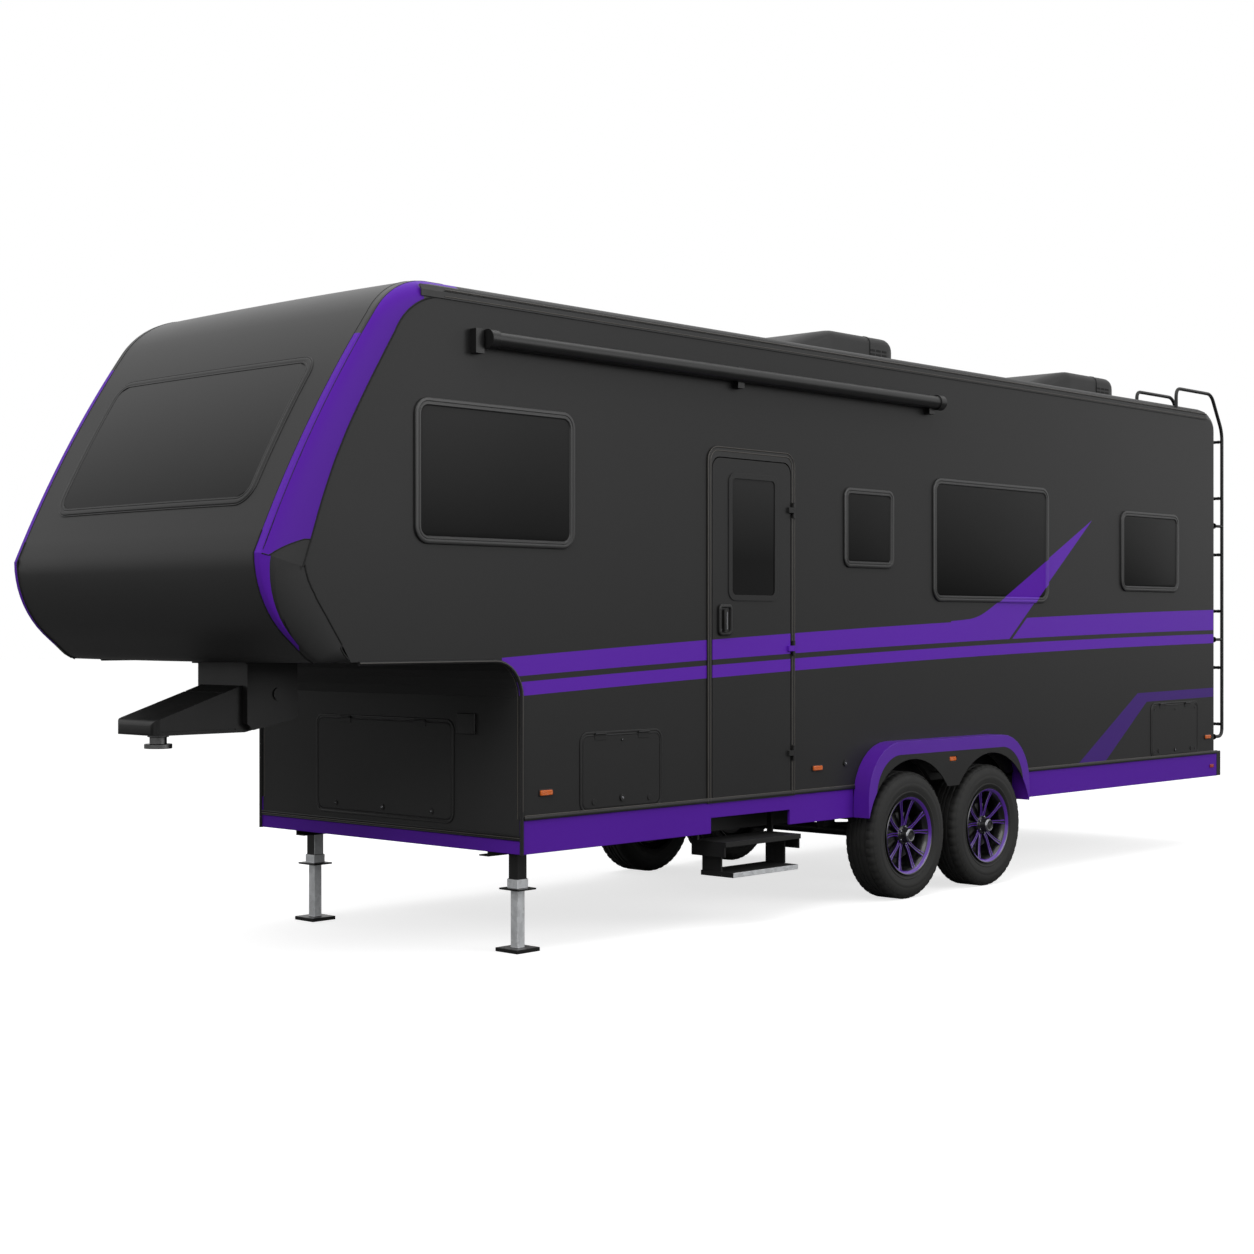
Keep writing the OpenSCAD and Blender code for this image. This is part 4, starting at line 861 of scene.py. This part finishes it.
# Solids that keep their form: node, finish, slot, rounding of the edges in mm
DRESSED = (
    ("wheel_arches", "arch", "purple", 4.0), ("skirts", "purple", "purple", 3.0),
    ("pin_box", "black", "black_paint", 14.0), ("awning", "awning", "awning_case", 3.0),
    ("entry_door", "body", "body_grey", 2.5), ("door_frame", "trim", "black_trim", 2.5),
    ("front_hatch", "grey", "body_grey", 2.0),
    ("baggage_door_left", "body", "body_grey", 2.0), ("baggage_door_right", "body", "body_grey", 2.0),
    ("rear_hatch_left", "body", "body_grey", 2.0), ("rear_hatch_right", "body", "body_grey", 2.0),
    ("hatch_frames", "trim", "black_trim", 0.8), ("kingpin", "pin", "kingpin_steel", 2.0),
    ("tail_lamps", "red", "red_lens", 3.0), ("utility_box", "trim", "black_trim", 4.0),
    ("rear_bumper", "purple", "purple", 4.0), ("eaves_trims", "trim", "black_trim", 1.5),
    ("suspension", "chassis", "chassis_paint", 1.5), ("axles", "chassis", "chassis_paint", 1.0),
)
for solid, finish, slot, edge in DRESSED:
    dress(solid, finish, slot, edge / 1000)


def leg_finish(middle, normal):
    """The tubes are bright up to a short sleeve at the top; the flange and the foot are black."""
    near = max(abs(abs(middle.y) - LEG_Y), abs(middle.x - at(LEG_ST) * 1000)) < 55
    return 1 if near and 24 < middle.z < 500 and abs(normal.z) < 0.5 else 0


def step_finish(middle, normal):
    """The lower tread's outer edge is bare metal."""
    return 1 if normal.y > 0.9 and 300 < middle.z < 336 and middle.y > 1270 else 0


dress("landing_legs", ["black", "zinc"], "galvanised", 0.003, leg_finish)
dress("entry_step", ["step", "zinc"], "step_paint", 0.003, step_finish)


# Small parts
def trims():
    """Mouldings along the lower edges, the bulkhead's corners and the eaves, with paler beads on them as
    painted highlights.
    """
    edge, line = Shape(), Shape()
    for side in (1, -1):
        place = on_side(side)
        # Round the front corner, up the cove and under the nose
        path = [(8002, 566)] + [(8002, z) for z in (800, 1100)] + arc(8200, 1415, 199, 180, 90)
        path += [(u, 1614) for u in (8500, 8800, 9130)]
        edge.tube([place(u, v, 1) for u, v in path], 0.011)
        # A paler bead along it is a painted highlight
        line.tube([place(u, v + 1, 9) for u, v in path[1:]], 0.0032)
        # Over the skirt, behind and ahead of the wheel arch
        section = ((752, 0), (752, 9), (757, 11), (771, 11), (776, 8), (776, 0))
        for ends in ((14, 3104), (5018, 7990)):
            edge.loft([[place(x, z, h) for z, h in section] for x in ends], cap_first=True, cap_last=True)
            # and a paler bead on top, a painted highlight
            line.tube([place(x, 777, 7) for x in ends], 0.003)
        # Two paler beads along the eaves as painted highlights, and a cap on the skirt's rear end
        for z in (3508, 3543):
            line.tube([place(x, z, 5.5) for x in (190, 2000, 5000, 8560)], 0.0032)
        near, far = sorted((side * 1.128, side * 1.152))
        edge.block((at(-60), near, 0.57), (at(6), far, 0.772))
    for z in (647, 668):
        edge.tube([on_bulkhead(y, z, 3) for y in (-1140, 1140)], 0.005)
    # The paler middle bead is a painted highlight
    line.tube([on_bulkhead(y, 657, 4) for y in (-1140, 1140)], 0.003)
    edge.make("edge_mouldings", "trim", "black_trim")
    line.make("moulding_highlights", "bronze", "black_trim")


# A lock or screw on a hatch: station, height, radius, rise
BAGGAGE_MARKS = ((BAGGAGE_ST, 832, 20, 8), (BAGGAGE_ST, 1160, 8, 5))
REAR_MARKS = ((REAR_HATCH_ST, 816, 15, 6),) + tuple(
    (REAR_HATCH_ST + a * 335, 977 + b * 165, 7, 4) for a in (-1, 0, 1) for b in (-1, 1))


def locks():
    """Locks and screws on the hatches and the side walls."""
    for side, name in ((1, "left"), (-1, "right")):
        place = on_side(side)
        for leaf, marks in (("baggage_door_" + name, BAGGAGE_MARKS), ("rear_hatch_" + name, REAR_MARKS)):
            shape = Shape()
            for u, v, r, h in marks:
                stud(shape, lambda a, b, c: place(a, b, c + LEAF_H), u, v, r, h, 0)
                stud(shape, lambda a, b, c: place(a, b, c + LEAF_H + h), u, v, r * 0.4, 1.0, 1)
            shape.make(leaf + "_locks", ["trim", "hubcap"], "black_trim", leaf)
    front = Shape()
    for y, r in ((-423, 9), (0, 17), (423, 9)):
        stud(front, lambda a, b, c: on_bulkhead(a, b, c + LEAF_H), y, 760, r, 6)
        stud(front, lambda a, b, c: on_bulkhead(a, b, c + LEAF_H + 5), y, 760, r * 0.5, 2, 1)
    front.make("front_hatch_locks", ["trim", "hubcap"], "black_trim", "front_hatch")
    wall = Shape()
    for side in (1, -1):
        stud(wall, on_side(side), 5112, 922, 20, 9)
        stud(wall, on_side(side), 5112, 922, 8, 11, 1)
        stud(wall, on_side(side), 4929, 796, 8, 5)
    wall.make("wall_locks", ["trim", "hubcap"], "black_trim")


# A hatch's middle, lower edge, length and height
SIDE_HATCHES, FRONT_HATCH = ((BAGGAGE_ST, 782, 640, 408), (REAR_HATCH_ST, 778, 740, 398)), (0, 722, 1176, 540)


def hatch_rings():
    """Raised frames with a rubber gasket round the hatches."""
    rings = Shape()
    hatches = [(on_side(side), *hatch) for side in (1, -1) for hatch in SIDE_HATCHES]
    for place, u, v, w, h in hatches + [(on_bulkhead, *FRONT_HATCH)]:
        def outline(i):
            return rounded(u - w / 2 + i, v + i, u + w / 2 - i, v + h - i, max(40 - i, 12))
        rings.band(outline, [(-22, 0), (-22, 3.5), (-19, 5.5), (-12, 5.5), (-9, 3), (-4, 3), (-1, 5),
                             (1.5, 5), (2.5, 1)], place)
        rings.band(outline, [(-0.5, -30), (-0.5, -3), (3.5, -3), (3.5, -30)], place, 1)
    rings.make("hatch_rings", ["trim", "under"], "black_trim")


def door_parts():
    """The door's lever handle in its frame, and the raised lines round the door's frame, which are paler as
    painted highlights.
    """
    leaf_out = 8            # how far the door's leaf stands off the side wall
    side = on_side(1)

    def place(u, v, h):
        return side(u, v, h + leaf_out)
    u, v = 6329.0, 1745.0
    handle = Shape()
    handle.band(lambda i: rounded(u - 70 + i, v + i, u + 56 - i, v + 188 - i, 30 - min(i, 20)),
                [(0, 0), (0, 12), (4, 15), (9, 16)], place, 0)
    handle.band(lambda i: rounded(u - 61 + i, v + 9 + i, u + 47 - i, v + 179 - i, 22 - min(i, 10)),
                [(0, 16), (8, 16), (10, 14), (13, 5)], place, 0, fill=True)
    lever = ((-14, 5), (-14, 17), (-9, 22), (9, 22), (14, 17), (14, 5))
    handle.loft([[place(u + a * w, v + z, h) for a, h in lever]
                 for z, w in ((26, 0.8), (34, 1), (146, 1), (158, 0.8))], 0, cap_first=True, cap_last=True)
    handle.loft([[place(u + a, v + z, h) for a, h in ((-13.5, 20.5), (-9, 22.6), (-5, 22.4), (-8, 18))]
                 for z in (38, 142)], 1, cap_first=True, cap_last=True)
    stud(handle, place, u + 32, v + 34, 8, 8, 1)
    handle.make("door_handle_lever", ["trim", "hubcap"], "black_trim", "entry_door", nodes=("door_handle",))

    x0, x1, z0, z1, r = DOOR_ST, DOOR_ST + DOOR_W, 756, 2876, 90
    # Paler beads round the door's frame: painted highlights
    beads = Shape()
    for i in (3, 25):
        line = [(x1 - i, z0)] + arc(x1 - r, z1 - r, r - i, 0, 90) + arc(x0 + r, z1 - r, r - i, 90, 180)
        beads.tube([side(a, b, 8) for a, b in line + [(x0 + i, z0)]], 0.0035)
    beads.make("door_frame_beads", "bronze", "black_trim")


def ladder():
    """The rear ladder with bent corners, flanged feet and ribbed rungs; Y and Z in mm."""
    shape = Shape()

    def bent(points, r=70):
        """Rounds the corners of a path."""
        out = [Vector(points[0])]
        for a, b, c in zip(points, points[1:], points[2:]):
            a, b, c = Vector(a), Vector(b), Vector(c)
            r1 = min(r, (a - b).length * 0.45, (c - b).length * 0.45)
            p0, p2 = b + (a - b).normalized() * r1, b + (c - b).normalized() * r1
            out += [p0 * (1 - t) ** 2 + b * 2 * t * (1 - t) + p2 * t * t for t in (i / 7 for i in range(8))]
        return out + [Vector(points[-1])]
    x, foot, top = -150, 888, 3420
    outer_y, inner_y, stand_offs, rungs = 1120, 770, (1693, 2634), 6
    for y, roof_foot in ((outer_y, 3560), (inner_y, 3592)):
        line = [(-2, foot), (x, foot), (x, top), (40, HOOP_Z), (640, HOOP_Z), (640, roof_foot)]
        shape.tube([(at(a), b / 1000, c / 1000) for a, b, c in bent([(a, y, c) for a, c in line])], 0.014, 12)
        for z in stand_offs:
            shape.tube([(at(x), y / 1000, z / 1000), (at(-2), y / 1000, z / 1000)], 0.012, 12)
        for z in (foot, *stand_offs):
            shape.turn([(0.05, 9), (20, 9), (24, 7), (24, 0)],
                       lambda a, b, h: (at(-h), (y + a) / 1000, (z + b) / 1000), 16)
    for i in range(rungs):
        z = foot + 100 + (top - foot - 180) * i / (rungs - 1)
        shape.tube([(at(x), y / 1000, z / 1000) for y in (inner_y, outer_y)], 0.012, 12)
        for k in range(9):
            y = inner_y + 30 + 36 * k
            shape.turn([(12, -7), (13.4, -6), (13.4, 6), (12, 7)],
                       lambda a, b, h: (at(x + a), (y + h) / 1000, (z + b) / 1000), 12)
    shape.make("ladder_tubes", "ladder", "ladder_paint", nodes=("ladder",), smooth=50)


def coolers():
    """Roof air conditioners: a drawn-in sloping front, a level rear with louvres, and a seam between."""
    shape = Shape()
    half_l, edge = 650, 90                  # half a cooler's length, and the length of its rounded rear edge
    stations = [-650, -649, -646, -640, -628, -608, -580, -540, *range(-500, 60, 50), *range(60, 640, 30),
                640, 646, 650]

    def lift(z):
        return (ROOF_Z + z) / 1000

    for middle in COOLERS:
        rings = []
        for u in stations:
            rise = math.sqrt(1 - (1 - min(1.0, (u + half_l) / edge)) ** 2)
            t = max(0.0, (u - 50) / 600)
            top = 236 + 56 * rise - 200 * t ** 1.5 - 32 * max(0.0, (t - 0.9) / 0.1) ** 2
            t = max(0.0, (u - 60) / 590)
            half = 340 - 128 * t ** 1.3 - 40 * max(0.0, (t - 0.85) / 0.15) ** 2 - 24 * (1 - rise)
            r = min(56 + 40 * min(1.0, max(0.0, (u - 100) / 300)), top * 0.7)
            pts = [(-half, 2), (-half, 30)]
            pts += [(-half + r - r * math.cos(a), top - r + r * math.sin(a))
                    for a in (math.radians(15 * k) for k in range(7))]
            pts += [(-v, z) for v, z in reversed(pts)]
            rings.append([(at(middle + u), v / 1000, lift(z)) for v, z in pts])
        shape.loft(rings, 0, cap_first=True, cap_last=True)
        seam = middle - 360
        for s in (1, -1):
            path = [(341, z) for z in (8, 120, 236)] + arc(285, 236, 57, 30, 90, 2) + [(0, 293)]
            shape.tube([(at(seam), s * v / 1000, lift(z)) for v, z in path], 0.004, 6, 1)
            # Louvres on the side, in three columns, and on the rear, in four: dark blocks, a painted shade of
            # their slots
            near, far = sorted((s * 0.334, s * 0.3415))
            for u in (seam - 176, seam - 106, seam - 36):
                for z in range(40, 200, 29):
                    shape.block((at(u - 27), near, lift(z)), (at(u + 27), far, lift(z + 15)), 1)
        # The rear louvres: dark blocks as painted shade of the slots
        for v in (-210, -70, 70, 210):
            for z in range(44, 200, 28):
                shape.block((at(middle - half_l - 1), (v - 52) / 1000, lift(z)),
                            (at(middle - half_l + 10), (v + 52) / 1000, lift(z + 14)), 1)
    shape.make("air_conditioner_shells", ["cooler", "under"], "cooler_shell", nodes=("air_conditioners",),
               smooth=38)


trims()
locks()
hatch_rings()
door_parts()
ladder()
coolers()


# Floor, light and camera
def studio():
    """A pale floor that keeps a soft shadow, a white surround, three soft lamps and the camera."""
    floor = Finish("studio_floor", Roughness=0.9, Specular_IOR_Level=0.0, Emission_Strength=1.0)
    view_ray = floor.add("LightPath", "Is Camera Ray")
    ground = floor.blend(view_ray, (0.16, 0.16, 0.16), (0.6, 0.6, 0.6))
    floor.feed(Base_Color=floor.shade(ground, floor.noise(0.4) * 0.01 + 0.995),
               Emission_Color=floor.blend(view_ray, (0.0, 0.0, 0.0), (0.72, 0.72, 0.72)))
    mesh = bpy.data.meshes.new("studio_floor")
    mesh.from_pydata([(-90, -90, 0), (90, -90, 0), (90, 90, 0), (-90, 90, 0)], [], [(0, 1, 2, 3)])
    sheet = bpy.data.objects.new("studio_floor", mesh)
    mesh.materials.append(floor.made)
    bpy.context.scene.collection.objects.link(sheet)

    world = bpy.data.worlds.new("studio")
    bpy.context.scene.world = world
    world.use_nodes = True
    tree = world.node_tree
    back = tree.nodes["Background"]
    seen, glossy, through = (node(tree, "LightPath", {}, f"Is {kind} Ray", {})
                             for kind in ("Camera", "Glossy", "Transmission"))
    plug(tree, back.inputs["Color"], (1.0, 1.0, 1.0))
    plug(tree, back.inputs["Strength"], seen.most(glossy).most(through) * 0.5 + 0.5)

    # Name, place, aim, width and power
    for name, spot, aim, size, watts in (
            ("key", (16.0, 5.0, 13.0), (2.0, 0.0, 1.6), 12.0, 1300.0),
            ("top", (0.0, 0.0, 14.0), (0.0, 0.0, 1.0), 16.0, 900.0),
            ("side", (-6.0, 18.0, 8.0), (-1.0, 0.0, 1.6), 12.0, 1150.0)):
        lamp = bpy.data.lights.new(name, "AREA")
        lamp.size, lamp.energy = size, watts
        o = bpy.data.objects.new(name, lamp)
        o.location = spot
        o.rotation_euler = (Vector(aim) - Vector(spot)).to_track_quat("-Z", "Y").to_euler()
        bpy.context.scene.collection.objects.link(o)

    lens_mm, look = 58.16, Vector((-0.733, -0.681, 0.0))
    camera = bpy.data.cameras.new("camera")
    camera.lens, camera.sensor_width = lens_mm, 36.0
    camera.clip_end = 300.0
    o = bpy.data.objects.new("camera", camera)
    o.location = (10.825, 8.985, 1.797)
    o.rotation_euler = look.to_track_quat("-Z", "Y").to_euler()
    bpy.context.scene.collection.objects.link(o)
    bpy.context.scene.camera = o
    bpy.context.scene.view_settings.view_transform = "Standard"


studio()
